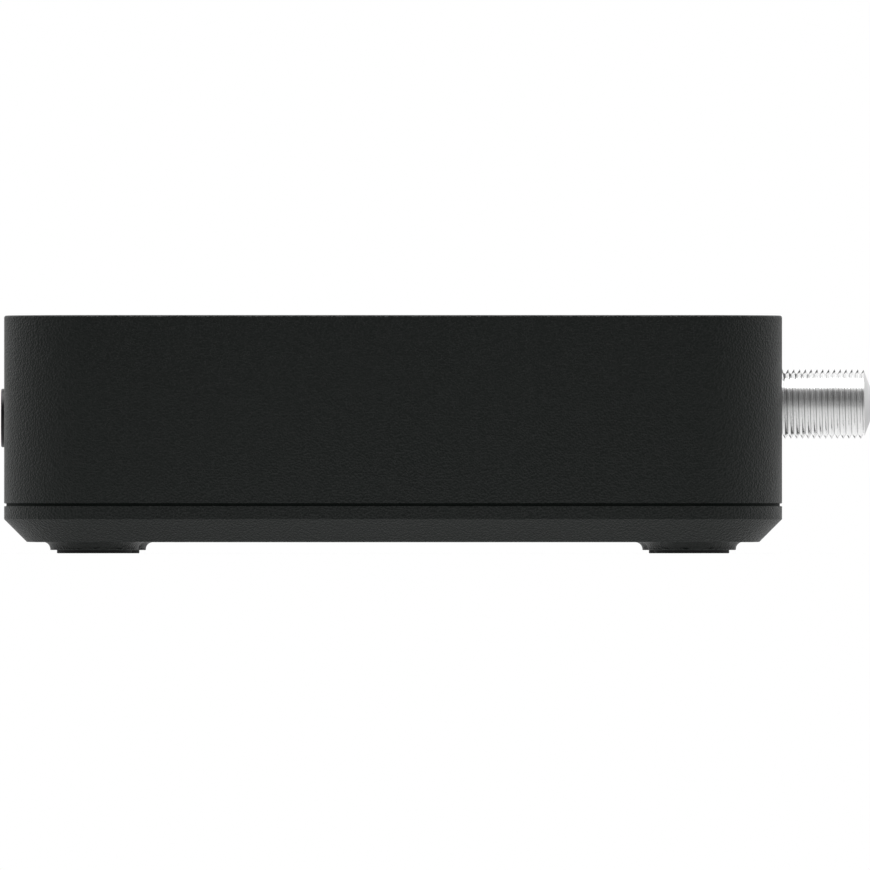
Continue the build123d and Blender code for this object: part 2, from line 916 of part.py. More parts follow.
def make_hdmi_socket():
    z = board_top + hdmi_shelf + hdmi_height / 2
    body = facing(hdmi_outline(0), row_x["hdmi"], socket_face, z, hdmi_depth)
    body -= facing(hdmi_outline(hdmi_wall), row_x["hdmi"], socket_face, z, hdmi_opening_depth)
    return body + on_board(
        row_x["hdmi"],
        socket_face - hdmi_depth + hdmi_foot_length / 2,
        hdmi_tongue_width,
        hdmi_foot_length,
        hdmi_shelf,
    )


def make_hdmi_tongue():
    z = board_top + hdmi_shelf + hdmi_height / 2
    depth = hdmi_opening_depth - hdmi_tongue_inset
    return block(
        row_x["hdmi"],
        socket_face - hdmi_tongue_inset,
        z,
        hdmi_tongue_width,
        depth,
        hdmi_tongue_thickness,
    )


def shutter_axis():
    """Where the shutter's hinge line crosses the case: its y and z."""
    reach = shutter_pin_radius + shutter_gap
    y = socket_face - shutter_setback - shutter_thickness / 2
    z = board_top + optical_height / 2 + optical_opening / 2 - reach
    return y, z


def make_optical_socket():
    x = row_x["optical"]
    middle = board_top + optical_height / 2
    body = block(x, socket_face, board_top, optical_width, optical_depth, optical_height)
    body -= block(
        x,
        socket_face,
        middle - optical_opening / 2,
        optical_opening,
        optical_opening_depth,
        optical_opening,
    )
    lens_face = socket_face - optical_opening_depth
    body -= lengthwise(x, lens_face, middle, optical_lens_radius, optical_lens_depth)
    y, z = shutter_axis()
    reach = optical_opening / 2 + shutter_pin_length + shutter_gap
    body -= Pos(x, y, z) * Rot(0, 90, 0) * Cylinder(shutter_pin_radius + shutter_pin_gap, 2 * reach)
    return body


def make_optical_shutter():
    """A flap across the mouth that swings inwards about its upper edge."""
    x = row_x["optical"]
    y, z = shutter_axis()
    width = optical_opening - 2 * shutter_gap
    bottom = board_top + optical_height / 2 - optical_opening / 2 + shutter_gap
    flap = block(x, y + shutter_thickness / 2, bottom, width, shutter_thickness, z - bottom)
    hinge = Pos(x, y, z) * Rot(0, 90, 0)
    flap += hinge * Cylinder(shutter_pin_radius, width + 2 * shutter_pin_length)
    return flap


def make_dc_socket():
    x = row_x["dc"]
    body = block(x, socket_face, board_top, dc_width, dc_depth, dc_height)
    body = fillet(body.edges().filter_by(Axis.Y).group_by(Axis.Z)[-1], shield_thickness)
    return body - lengthwise(x, socket_face, board_top + dc_rise, dc_bore_radius, dc_bore_depth)


def make_dc_pin():
    length = dc_bore_depth - dc_pin_setback
    back = socket_face - dc_pin_setback
    pin = lengthwise(row_x["dc"], back, board_top + dc_rise, dc_pin_radius, length)
    return fillet(pin.edges().group_by(Axis.Y)[-1], dc_pin_radius / 2)


# ---------------- Power switch ----------------
def rocker_pivot():
    return panel_face + panel_recess - rocker_pivot_depth


def make_rocker_housing():
    x = row_x["rocker"]
    bezel_face = panel_face + panel_recess
    bezel = block(
        x,
        bezel_face,
        lnb_axis - rocker_bezel_height / 2,
        rocker_bezel_width,
        panel_recess,
        rocker_bezel_height,
    )
    bezel = fillet(bezel.edges().filter_by(Axis.Y), panel_recess / 2)
    body = block(
        x,
        panel_face,
        lnb_axis - rocker_body_height / 2,
        rocker_body_width,
        rocker_body_depth,
        rocker_body_height,
    )
    well_depth = rocker_pivot_depth + rocker_radius * math.sin(math.radians(2 * rocker_tilt))
    well_depth += rocker_skirt + rocker_well_gap
    housing = bezel + body - block(
        x,
        bezel_face,
        lnb_axis - rocker_height / 2 - rocker_gap,
        2 * (rocker_radius + rocker_gap),
        well_depth,
        rocker_height + 2 * rocker_gap,
    )
    bore = rocker_height / 2 + rocker_gap + rocker_pin_length
    housing -= upright(
        x, rocker_pivot(), lnb_axis - bore, rocker_pin_radius + rocker_pin_gap, 2 * bore
    )
    return housing


def make_rocker():
    """A shallow V across the panel, tipped to its on side, with stub pins above and below."""
    rise = math.tan(math.radians(rocker_tilt)) * rocker_radius
    front = [
        (-rocker_radius, rocker_waist + rise),
        (0, rocker_waist),
        (rocker_radius, rocker_waist + rise),
        (rocker_radius, -rocker_skirt),
        (-rocker_radius, -rocker_skirt),
    ]
    outline = make_face(Polyline(*front, close=True)) & Circle(rocker_radius)
    body = Pos(0, 0, -rocker_height / 2) * extrude(outline, rocker_height)
    pin_reach = rocker_height / 2 + rocker_gap + rocker_pin_length - rocker_pin_gap
    body += upright(0, 0, -pin_reach, rocker_pin_radius, 2 * pin_reach)
    return Pos(row_x["rocker"], rocker_pivot(), lnb_axis) * Rot(0, 0, rocker_tilt) * body


def make_rocker_legs():
    """Solder legs from the switch down to the board."""
    bottom = board_top
    top = lnb_axis - rocker_body_height / 2
    y = panel_face - rocker_body_depth + rocker_leg * 2
    return [
        on_board(row_x["rocker"] + i * rocker_leg_pitch, y, rocker_leg, rocker_leg, top - bottom)
        for i in (-1, 0, 1)
    ]


# ---------------- Smart card reader ----------------
def card_reader_mouth():
    return left_face + wall + card_reader_gap


def make_card_reader():
    middle = card_reader_mouth() + card_reader_depth / 2
    body = on_board(middle, card_reader_y, card_reader_depth, card_reader_width, card_reader_height)
    slot = on_board(
        card_reader_mouth() + card_reader_slot_depth / 2,
        card_reader_y,
        card_reader_slot_depth,
        card_reader_slot_width,
        card_reader_slot_height,
        z=board_top + card_reader_slot_rise,
    )
    return body - slot


def make_card_contacts():
    """Two columns of four contacts on the slot's floor."""
    middle = card_reader_mouth() + card_contact_inset
    return [
        on_board(
            middle + column * card_contact_pitch_x / 2,
            card_reader_y + (row - 1.5) * card_contact_pitch_y,
            card_contact_size,
            card_contact_size,
            card_contact_height,
            z=board_top + card_reader_slot_rise,
        )
        for column in (-1, 1)
        for row in range(4)
    ]


# ---------------- Board parts ----------------
def make_processor():
    return on_board(chip_x, chip_y, chip_size, chip_size, chip_height)


def make_thermal_pad():
    return on_board(chip_x, chip_y, chip_size, chip_size, pad_thickness, z=board_top + chip_height)


def make_heatsink():
    bottom = board_top + chip_height + pad_thickness
    sink = on_board(chip_x, chip_y, heatsink_size, heatsink_size, heatsink_base, z=bottom)
    pitch = (heatsink_size - heatsink_fin_thickness) / (heatsink_fin_count - 1)
    for i in range(heatsink_fin_count):
        x = chip_x - (heatsink_size - heatsink_fin_thickness) / 2 + i * pitch
        sink += on_board(
            x, chip_y, heatsink_fin_thickness, heatsink_size, heatsink_fin_height, z=bottom + heatsink_base
        )
    return sink


def make_memory_chips():
    return [
        on_board(memory_x, chip_y + side * memory_pitch / 2, memory_width, memory_depth, memory_height)
        for side in (-1, 1)
    ]


def make_flash_chip():
    return on_board(flash_x, flash_y, flash_width, flash_depth, flash_height)


def make_radio_module():
    board = on_board(radio_x, radio_y, radio_width, radio_depth, radio_board)
    return board + on_board(
        radio_x,
        radio_y + (radio_depth - radio_can_depth) / 2 - radio_can_margin,
        radio_width - 2 * radio_can_margin,
        radio_can_depth,
        radio_can_height,
        z=board_top + radio_board,
    )


def make_coils():
    one = Pos(0, 0, board_top) * extrude(
        RectangleRounded(coil_size, coil_size, coil_corner_radius), coil_height
    )
    return [Pos(coil_x, coil_y + i * coil_pitch, 0) * one for i in range(coil_count)]


def make_capacitors():
    """Cans with a rolled groove near the foot."""
    groove_z = capacitor_radius / 2
    inner = capacitor_radius - capacitor_groove
    points = [
        (0, 0),
        (capacitor_radius, 0),
        (capacitor_radius, groove_z - capacitor_groove),
        (inner, groove_z),
        (capacitor_radius, groove_z + capacitor_groove),
        (capacitor_radius, capacitor_height - capacitor_groove),
        (inner, capacitor_height),
        (0, capacitor_height),
    ]
    can = Rot(90, 0, 0) * revolve(make_face(Polyline(*points, close=True)), Axis.Y)
    return [
        Pos(capacitor_x, capacitor_y + i * capacitor_pitch, board_top) * can
        for i in range(capacitor_count)
    ]


def make_crystal():
    body = on_board(chip_x, crystal_y, crystal_width, crystal_depth, crystal_height)
    return fillet(body.edges().filter_by(Axis.Z), crystal_corner_radius)


pieces = {
    "top_cover": make_top_cover(),
    "base_tray": make_base_tray(),
    "case_screws": make_case_screws(),
    "rear_panel": make_rear_panel(),
    "front_window": make_front_window(),
    "power_button": make_power_button(),
    "button_switch": make_button_switch(),
    "switch_plunger": make_switch_plunger(),
    "display_board": make_display_board(),
    "display_screws": make_display_screws(),
    "display_module": make_display_module(),
    "infrared_receiver": make_infrared_receiver(),
    "standby_lamp": make_standby_lamp(),
    "board_header": make_board_header(),
    "main_board": make_main_board(),
    "board_screws": make_board_screws(),
    "tuner_shield": make_tuner_shield(),
    "tuner_chip": make_tuner_chip(),
    "lnb_socket": make_lnb_socket(),
    "lnb_insulator": make_lnb_insulator(),
    "lnb_contact": make_lnb_contact(),
    "lan_socket": make_lan_socket(),
    "lan_lamps": lan_lamp_places(),
    "lan_contacts": make_lan_contacts(),
    "usb_socket": make_usb_socket(),
    "usb_tongues": make_usb_tongues(),
    "hdmi_socket": make_hdmi_socket(),
    "hdmi_tongue": make_hdmi_tongue(),
    "optical_socket": make_optical_socket(),
    "optical_shutter": make_optical_shutter(),
    "dc_socket": make_dc_socket(),
    "dc_pin": make_dc_pin(),
    "rocker_housing": make_rocker_housing(),
    "power_rocker": make_rocker(),
    "rocker_legs": make_rocker_legs(),
    "card_reader": make_card_reader(),
    "card_contacts": make_card_contacts(),
    "processor": make_processor(),
    "thermal_pad": make_thermal_pad(),
    "heatsink": make_heatsink(),
    "memory_chips": make_memory_chips(),
    "flash_chip": make_flash_chip(),
    "radio_module": make_radio_module(),
    "coils": make_coils(),
    "capacitors": make_capacitors(),
    "crystal": make_crystal(),
}
foot_names = ("foot_front_left", "foot_rear_left", "foot_front_right", "foot_rear_right")
for name, (foot_x, foot_y) in zip(foot_names, corners):
    pieces[name] = Pos(foot_x, foot_y, 0) * make_foot()

os.makedirs("parts", exist_ok=True)
for name, shape in pieces.items():
    solids = shape if isinstance(shape, list) else [shape]
    placed = [Pos(0, case_y, 0) * solid for solid in solids]
    export_step(placed[0] if len(placed) == 1 else Compound(placed), f"parts/{name}.step")
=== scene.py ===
import json
import math

import bpy
from mathutils import Matrix, Vector


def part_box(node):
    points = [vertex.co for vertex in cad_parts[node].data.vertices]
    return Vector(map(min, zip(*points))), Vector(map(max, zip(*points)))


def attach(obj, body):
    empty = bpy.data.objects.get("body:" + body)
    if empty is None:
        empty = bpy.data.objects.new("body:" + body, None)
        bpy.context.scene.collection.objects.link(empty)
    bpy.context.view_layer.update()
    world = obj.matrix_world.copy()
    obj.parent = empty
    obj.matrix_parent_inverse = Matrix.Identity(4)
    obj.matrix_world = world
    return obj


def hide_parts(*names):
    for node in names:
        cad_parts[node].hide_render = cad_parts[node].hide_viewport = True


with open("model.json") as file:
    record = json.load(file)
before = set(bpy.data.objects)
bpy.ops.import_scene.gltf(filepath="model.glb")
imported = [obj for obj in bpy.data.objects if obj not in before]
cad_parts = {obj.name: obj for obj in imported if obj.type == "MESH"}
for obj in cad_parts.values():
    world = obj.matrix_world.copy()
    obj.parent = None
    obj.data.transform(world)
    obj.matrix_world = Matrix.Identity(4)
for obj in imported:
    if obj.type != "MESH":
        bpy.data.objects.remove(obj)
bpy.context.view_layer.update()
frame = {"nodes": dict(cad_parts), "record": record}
nodes = frame["nodes"]
slot_of = {part["node"]: part["material_slot"] for part in frame["record"]["subparts"]}
mm = 0.001
scene = bpy.context.scene

# ---- Case, as in the construction ----
tray_low, tray_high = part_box("base_tray")
cover_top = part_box("top_cover")[1].z
left_side, right_side = tray_low.x, tray_high.x
front_face, rear_face = tray_low.y, tray_high.y
case_middle = (front_face + rear_face) / 2
panel_low, panel_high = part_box("rear_panel")
corner_radius, corner_steps = 12.3 * mm, 28
wall = 2.0 * mm
top_edge_radius, moulded_edge, tray_edge = 0.3 * mm, 0.1 * mm, 0.08 * mm
base_chamfer = 3.1 * mm
base_rim = 1.78 * mm
shadow_gap_height, shadow_gap_depth = 0.36 * mm, 0.3 * mm
lip_thickness, lip_height, lip_gap = 0.9 * mm, 1.4 * mm, 0.1 * mm
tray_well_chamfer = 0.93 * mm
foot_proud = tray_low.z
foot_boss_height = 1.1 * mm
floor_bottom = foot_proud + foot_boss_height
floor_top = floor_bottom + wall
shadow_gap_bottom = floor_bottom + base_chamfer + base_rim
seam = shadow_gap_bottom + shadow_gap_height
ceiling = cover_top - wall
front_inside = front_face + wall
vent_pitch = 4.4 * mm
top_vent_half, top_vent_count, top_vent_from_rear = Vector((1, 8, 2)) * mm, 21, 25 * mm
floor_vent_half, floor_vent_count = Vector((1, 7.5, 2)) * mm, 13
floor_vent_row, floor_vent_shift = 10.5 * mm, 11 * mm
plate_place, plate_half, plate_corner = -42 * mm, Vector((26, 15, 0.35)) * mm, 2 * mm

# ---- Feet, bosses and screws ----
foot_names = ("foot_front_left", "foot_rear_left", "foot_front_right", "foot_rear_right")
foot_edge = 0.12 * mm
foot_dish, foot_dish_rim, foot_dish_depth = 3.4 * mm, 3.7 * mm, 0.15 * mm
foot_boss_radius, foot_boss_flare = 6.0 * mm, 1.0 * mm
foot_recess_radius = 5.15 * mm
screw_boss_radius, screw_boss_top = 4.6 * mm, 5.65 * mm
screw_head_radius, screw_head_depth = 3.1 * mm, 2.4 * mm
screw_hole_radius, screw_hole_top = 1.65 * mm, 6.5 * mm
cover_boss_radius, cover_boss_bottom = 3.5 * mm, 5.75 * mm
pilot_radius, pilot_top = 1.47 * mm, 16.65 * mm
standoff_radius, standoff_pilot_depth = 3.2 * mm, 4.4 * mm
board_screw_radius = 2.8 * mm
tuner_screw_gap = 5.0 * mm
post_radius, post_pilot_radius, post_pilot_depth = 2.2 * mm, 1.02 * mm, 5 * mm

# ---- Front, card slot and rear panel ----
window_flange, window_flange_thickness = 1.2 * mm, 1.0 * mm
window_gap, window_edge = 0.05 * mm, 0.25 * mm
button_flange, button_flange_faces = 1.2 * mm, (0.05 * mm, 0.95 * mm)  # behind the wall
button_gap, button_edge, button_stem_radius = 0.15 * mm, 0.18 * mm, 1.6 * mm
power_mark_radius, power_mark_line, power_mark_gap = 1.6 * mm, 0.34 * mm, math.radians(76)
power_bar_foot, power_bar_top = 0.4 * mm, power_mark_radius + 0.9 * power_mark_line
engraving, paint_depth, paint_thickness = 0.2 * mm, 0.02 * mm, 0.17 * mm
card_slot_half = (2 * wall, 27.8 * mm, 1.2 * mm)
card_slot_rise = 1.7 * mm  # above the reader's underside
card_slot_flare = 0.7 * mm
panel_corner, panel_overlap, panel_gap = 1.5 * mm, 1.4 * mm, 0.1 * mm
socket_gap, rocker_gap, hdmi_sill = 0.2 * mm, (-0.6 * mm, -0.3 * mm), 0.3 * mm
barrel_hole_radius = 5.15 * mm

# ---- Antenna socket ----
thread_pitch = 25.4 * mm / 32
thread_phase = 0.49 * mm  # ends a crest at the foot of the cone
thread_gap = 0.1 * mm  # between the panel and the thread
thread_crest, thread_root, thread_root_width = 4.75 * mm, 4.125 * mm, 0.06 * mm
hair = 0.02 * mm  # by which a face of the root may lie outside it
barrel_bore = 2.1 * mm
barrel_cone, barrel_cone_radius, barrel_tip_radius = 0.95 * mm, thread_crest + 0.05 * mm, 2.3 * mm
barrel_flange_radius, barrel_flange = 5.8 * mm, 1.0 * mm
barrel_core_radius, barrel_core_overlap = thread_root - 0.15 * mm, 0.3 * mm
insulator_gap, insulator_hole = 0.01 * mm, 0.82 * mm
insulator_edge, insulator_mouth = 0.2 * mm, (0.25 * mm, 0.3 * mm)
contact_radius, contact_hole, contact_hole_depth = 0.8 * mm, 0.5 * mm, 6.0 * mm
contact_edge, contact_mouth = 0.08 * mm, (0.1 * mm, 0.15 * mm)

# ---- Other sockets and the rocker ----
usual_edge = 0.2 * mm
finer_edges = {
    "lan_lamps": 0.12 * mm,
    "usb_socket": 0.18 * mm,
    "usb_tongues": 0.15 * mm,
    "hdmi_socket": 0.12 * mm,
    "hdmi_tongue": 0.1 * mm,
    "optical_shutter": 0.1 * mm,
}
lan_mouth_width, lan_mouth_height, lan_mouth_depth, lan_sill = 11.8 * mm, 8.4 * mm, 13 * mm, 1.3 * mm
lan_mouth_inset = 0.35 * mm
liner_gap, liner_wall, liner_floor, liner_edge = (0.03 * mm, 0.05 * mm), 0.45 * mm, 1 * mm, 0.06 * mm
latch_width, latch_rise, latch_overlap = 6.2 * mm, 1.5 * mm, 2 * mm
lan_wire_width, lan_wire_thickness, lan_wire_rise = 0.4 * mm, 0.3 * mm, 0.46 * mm
lan_wire_bends = ((-1.6 * mm, 0.1 * mm), (0.9 * mm, -0.12 * mm), (0.7 * mm, -0.4 * mm))
usb_tongue_thickness = 1.8 * mm
usb_spring_rises, usb_spring_spread = (1.55 * mm, 8.95 * mm), 3.1 * mm
spring_width, spring_thickness, sheet_edge = 1.8 * mm, 0.15 * mm, 0.05 * mm
spring_foot = (6.5 * mm, 5.0 * mm)  # from here to here behind the mouth
spring_bow = ((1.6 * mm, 0.55 * mm), (0.8 * mm, 0.1 * mm), (0.8 * mm, -0.2 * mm))
strip_proud, strip_start, strip_inset = 0.06 * mm, 0.1 * mm, 0.6 * mm
usb_strip_row = (4, 2.3 * mm, 1.0 * mm)  # count, pitch and width
hdmi_strip_rows = {"upper": (10, 1.0 * mm, 0.4 * mm), "lower": (9, 1.0 * mm, 0.4 * mm)}
rocker_pivot_depth = 1.2 * mm
rocker_waist = 1.2 * mm  # rocker's valley above its pivot
rocker_tilt = math.radians(12)
rocker_mark_reach, rocker_mark_proud, rocker_mark_sunk = 3.0 * mm, 0.05 * mm, 0.12 * mm
rocker_bar_half = (0.24 * mm, 0, 1.35 * mm)
rocker_ring = (0.95 * mm, 1.35 * mm)

# ---- Studio ----
white = (1, 1, 1, 1)
round_steps = 96
lens_length = 1600.0
picture_width = 118.54 * mm  # across the picture at the outlines of the rounded corners
picture_middle = Vector((0.0, -0.09 * mm, 16.12 * mm))
eye_height = 0.05 * mm
fill_level = 0.55
lamp_height, lamp_size, lamp_power = 1.5, 1.3, 16.0
floor_radius = 0.6
floor_paper = (0.9, 0.9, 0.9, 1)
floor_fade = (0.15, 0.45)  # between these distances, it turns as white as the surround
floor_pool = 82 * mm  # in reflections, the floor darkens outwards from here
floor_near, floor_dusk, floor_fall = 1.08, 0.3, 1.5
floor_evenness = 0.75  # how little the case's own shadow shows in its reflection
screen_radius = 1.3
screen_bottom, screen_top = -0.1, 2.75
screen_dim, screen_bright = 0.178, 0.98  # on the viewer's side, and behind the ends of the case
screen_turn = (-0.2, 1.3)  # between these places across, it goes from bright to dim
screen_dawn, screen_dawn_top = 0.4, 0.85  # level of its foot, and the height at which that is gone
screen_sky = (1.0, 2.75)  # between these heights, it turns as white as the sky over it


# ==== Shader trees ====
def add_node(tree, kind, **values):
    """Adds a node: in_ and an input's name or number gives it a value or a link, the rest are settings."""
    node = tree.nodes.new("ShaderNode" + kind)
    for key, value in values.items():
        if not key.startswith("in_"):
            setattr(node, key, value)
            continue
        label = key[3:].replace("_", " ")
        socket = node.inputs[int(label) if label.isdigit() else label]
        if isinstance(value, bpy.types.NodeSocket):
            tree.links.new(value, socket)
        else:
            socket.default_value = value
    return node


def compute(tree, operation, first, second, clamp=False):
    """One step of arithmetic."""
    step = add_node(tree, "Math", operation=operation, use_clamp=clamp, in_0=first, in_1=second)
    return step.outputs[0]


def ramp(tree, value, places, levels, shape="SMOOTHSTEP"):
    """A value that goes from the first level to the last between two places."""
    step = add_node(tree, "MapRange", interpolation_type=shape, in_Value=value)
    for label, number in zip(("From Min", "From Max", "To Min", "To Max"), (*places, *levels)):
        step.inputs[label].default_value = number
    return step.outputs["Result"]


def surface_place(tree):
    return add_node(tree, "TexCoord").outputs["Object"]


# ==== Studio ====
def make_camera():
    """A long lens, square on to the right-hand side."""
    bpy.ops.object.camera_add()
    camera = named("camera")
    camera.data.lens = lens_length
    distance = picture_width * lens_length / camera.data.sensor_width
    camera.data.clip_start = distance / 100
    camera.data.clip_end = distance * 3
    outline = right_side - corner_radius
    camera.location = (outline + distance, picture_middle.y, eye_height)
    aim = Vector((outline, picture_middle.y, picture_middle.z)) - camera.location
    camera.rotation_euler = aim.to_track_quat("-Z", "Y").to_euler()
    scene.camera = camera


def make_softbox():
    """A square lamp over the case."""
    bpy.ops.object.light_add(type="AREA", location=(0, 0, lamp_height))
    lamp = named("softbox")
    lamp.data.shape = "SQUARE"
    lamp.data.size = lamp_size
    lamp.data.energy = lamp_power


def mix_shaders(tree, share, first, second):
    return add_node(tree, "MixShader", in_0=share, in_1=first, in_2=second).outputs[0]


def glow(tree, strength):
    """White light of its own."""
    return add_node(tree, "Emission", in_Color=white, in_Strength=strength).outputs[0]


def seen_directly(tree):
    """1 for camera, glossy and transmission rays."""
    path = add_node(tree, "LightPath").outputs
    first = compute(tree, "MAXIMUM", path["Is Camera Ray"], path["Is Glossy Ray"])
    return compute(tree, "MAXIMUM", first, path["Is Transmission Ray"])


def make_world():
    """White where it is seen, a soft grey as light."""
    world = bpy.data.worlds.new("studio")
    scene.world = world
    world.use_nodes = True
    tree = world.node_tree
    tree.nodes.clear()
    fill, backdrop = (
        add_node(tree, "Background", in_Color=white, in_Strength=level).outputs[0]
        for level in (fill_level, 1.0)
    )
    surround = mix_shaders(tree, seen_directly(tree), fill, backdrop)
    add_node(tree, "OutputWorld", in_Surface=surround)


def add_studio_piece(piece, shaders):
    """Gives a piece of the studio its own material and sets it on the stage."""
    material = bpy.data.materials.new(piece.name)
    material.use_nodes = True
    tree = material.node_tree
    tree.nodes.clear()
    add_node(tree, "OutputMaterial", in_Surface=shaders(tree))
    piece.data.materials.append(material)


def floor_shaders(tree):
    """Pale paper that fades out at its rim, and in reflections a painted glowing pool of light in a grey
    floor.
    """
    reach = add_node(tree, "VectorMath", operation="LENGTH", in_0=surface_place(tree))
    reach = reach.outputs["Value"]
    paper = add_node(tree, "BsdfDiffuse", in_Color=floor_paper).outputs[0]
    fade = ramp(tree, reach, floor_fade, (0.0, 1.0))
    share = compute(tree, "MULTIPLY", fade, seen_directly(tree))
    seen = mix_shaders(tree, share, paper, glow(tree, 1.0))

    # painted light: in reflections the floor glows, bright near the case and dimmer outwards, and this
    # glow partly fills in the case's own shadow
    pool = compute(tree, "DIVIDE", floor_pool, reach)
    pool = compute(tree, "POWER", pool, floor_fall, clamp=True)
    under = mix_shaders(tree, floor_evenness, paper, glow(tree, floor_near))
    mirrored = mix_shaders(tree, pool, glow(tree, floor_dusk), under)
    path = add_node(tree, "LightPath").outputs
    return mix_shaders(tree, path["Is Glossy Ray"], seen, mirrored)


def make_floor():
    """A pale round floor that fades out at its rim."""
    bpy.ops.mesh.primitive_circle_add(vertices=round_steps, radius=floor_radius, fill_type="NGON")
    add_studio_piece(settle("studio_floor"), floor_shaders)


def screen_shaders(tree):
    """As bright as the brightest of three: the turn to dim, the dawn at the foot and the sky."""
    place = add_node(tree, "SeparateXYZ", in_0=surface_place(tree)).outputs
    level = 0.0
    for axis, places, levels in (
        ("X", screen_turn, (screen_bright, screen_dim)),
        ("Z", (screen_bottom, screen_dawn_top), (screen_dawn, 0.0)),
        ("Z", screen_sky, (0.0, 1.0)),
    ):
        level = compute(tree, "MAXIMUM", level, ramp(tree, place[axis], places, levels))
    return glow(tree, level)


def make_screen():
    """A grey wall all round that only shows in reflections, open at the top."""
    height = screen_top - screen_bottom
    place = (0, 0, screen_bottom + height / 2)
    bpy.ops.mesh.primitive_cylinder_add(
        vertices=round_steps, radius=screen_radius, depth=height, end_fill_type="NOTHING", location=place
    )
    screen = settle("studio_screen")
    for kind in ("camera", "diffuse", "transmission", "volume_scatter", "shadow"):
        setattr(screen, f"visible_{kind}", False)
    add_studio_piece(screen, screen_shaders)


# ==== Modelling ====
def let_go():
    """Object mode with nothing selected."""
    if bpy.context.object and bpy.context.object.mode != "OBJECT":
        bpy.ops.object.mode_set(mode="OBJECT")
    bpy.ops.object.select_all(action="DESELECT")


def take(piece):
    """Makes one piece the only selected and active one."""
    let_go()
    piece.select_set(True)
    bpy.context.view_layer.objects.active = piece


def named(name):
    """The active object and its mesh, by a new name."""
    piece = bpy.context.object
    piece.name = piece.data.name = name
    return piece


def settle(name):
    """Names the newest primitive and puts its place, turn and size into its mesh."""
    bpy.ops.object.transform_apply(location=True, rotation=True, scale=True)
    return named(name)


def edit(piece, kind="VERT", action="SELECT"):
    """Edit mode by points, edges or faces, with all or none selected."""
    take(piece)
    bpy.ops.object.mode_set(mode="EDIT")
    bpy.ops.mesh.select_mode(type=kind)
    bpy.ops.mesh.select_all(action=action)


def edit_some(piece, kind, parts, wanted):
    """Edit mode with only the wanted faces or edges selected."""
    edit(piece, kind, "DESELECT")
    bpy.ops.object.mode_set(mode="OBJECT")
    for part in getattr(piece.data, parts):
        part.select = wanted(part)
    bpy.ops.object.mode_set(mode="EDIT")


def edit_faces(piece, wanted):
    """Edit mode with the faces selected whose centre and normal pass the test."""
    edit_some(piece, "FACE", "polygons", lambda face: wanted(face.center, face.normal))


def bevel_edges(piece, wanted, width, segments):
    """Rounds or cuts the edges whose two ends pass the test."""

    def passes(edge):
        return wanted(*(piece.data.vertices[i].co for i in edge.vertices))

    edit_some(piece, "EDGE", "edges", passes)
    bpy.ops.mesh.bevel(offset=width, segments=segments, affect="EDGES")


def facing(axis, way=1):
    """Test for a face that looks up one axis, or down it."""
    return lambda centre, normal: normal[axis] * way > 0.9


def along(axis):
    """Test for an edge that runs along one axis."""
    others = [i for i in range(3) if i != axis]
    return lambda a, b: all(abs(a[i] - b[i]) < 1e-7 for i in others)


def level_edge(height, axis=2):
    """Test for an edge that lies at one height."""
    return lambda a, b: abs(a[axis] - height) < 1e-6 and abs(b[axis] - height) < 1e-6


def extrude(step):
    bpy.ops.mesh.extrude_region_move(TRANSFORM_OT_translate={"value": step})


def merge_points(threshold=1e-7):
    """Merges the points that meet, in edit mode."""
    bpy.ops.mesh.select_all(action="SELECT")
    bpy.ops.mesh.remove_doubles(threshold=threshold)


def close_up():
    """Merges the points that meet, turns all faces outwards and leaves edit mode."""
    merge_points()
    bpy.ops.mesh.normals_make_consistent(inside=False)
    let_go()


def block(name, low, high, radius=0.0, axis=2, segments=12):
    """A block between two corners, with the edges along one axis rounded."""
    let_go()
    low, high = Vector(low), Vector(high)
    bpy.ops.mesh.primitive_cube_add(size=1, location=(low + high) / 2)
    bpy.context.object.scale = high - low
    piece = settle(name)
    if radius > 0:
        bevel_edges(piece, along(axis), radius, segments)
        merge_points()
    let_go()
    return piece


def pill(name, low, high, axis=2, segments=10):
    """A block with round ends, seen along one axis, whose arcs stop a hair short of each other."""
    sides = [high[i] - low[i] for i in range(3) if i != axis]
    return block(name, low, high, min(sides) / 2 * 0.9999, axis, segments)


def rod(name, centre, radius, length, axis=2, steps=48):
    """A round bar with its middle at centre, upright or from front to rear."""
    let_go()
    tilt = (math.pi / 2 if axis == 1 else 0, 0, 0)
    bpy.ops.mesh.primitive_cylinder_add(
        vertices=steps, radius=radius, depth=length, location=centre, rotation=tilt
    )
    return settle(name)


def drawn_line(name, places):
    """A chain of edges from place to place, in edit mode."""
    let_go()
    bpy.ops.mesh.primitive_plane_add(size=mm, location=places[0])
    piece = settle(name)
    edit(piece)
    bpy.ops.mesh.merge(type="CENTER")
    for here, there in zip(places, places[1:]):
        extrude([b - a for a, b in zip(here, there)])
    return piece


def turned(name, profile, centre, axis=2, steps=64):
    """Spins a profile of (radius, distance along the axis) points round a line through centre."""
    centre = Vector(centre)
    out = Vector((0, 0, 1)) if axis == 1 else Vector((1, 0, 0))
    line = Vector([float(i == axis) for i in range(3)])
    places = [centre + out * radius + line * distance for radius, distance in profile]
    if profile[0][0] or profile[-1][0]:
        places.append(places[0])
    piece = drawn_line(name, places)
    merge_points()
    bpy.ops.mesh.spin(steps=steps, angle=2 * math.pi, center=centre, axis=line)
    close_up()
    return piece


def stack(bottom, *discs):
    """Profile of discs on one another, each given by its radius and the height that it reaches."""
    profile = [(0, bottom)]
    for radius, top in discs:
        profile += [(radius, bottom), (radius, top)]
        bottom = top
    return [*profile, (0, bottom)]


def arc(middle, radius, start, end, count=6):
    """Points on a quarter or other part of a circle, angles in degrees."""
    turns = [math.radians(start + (end - start) * i / count) for i in range(count + 1)]
    return [(middle[0] + radius * math.cos(t), middle[1] + radius * math.sin(t)) for t in turns]


def turn(piece, angle, axis, centre):
    """Turns a shape about a line through centre, along one axis."""
    place = Matrix.Translation(centre)
    piece.data.transform(place @ Matrix.Rotation(angle, 4, axis) @ place.inverted())


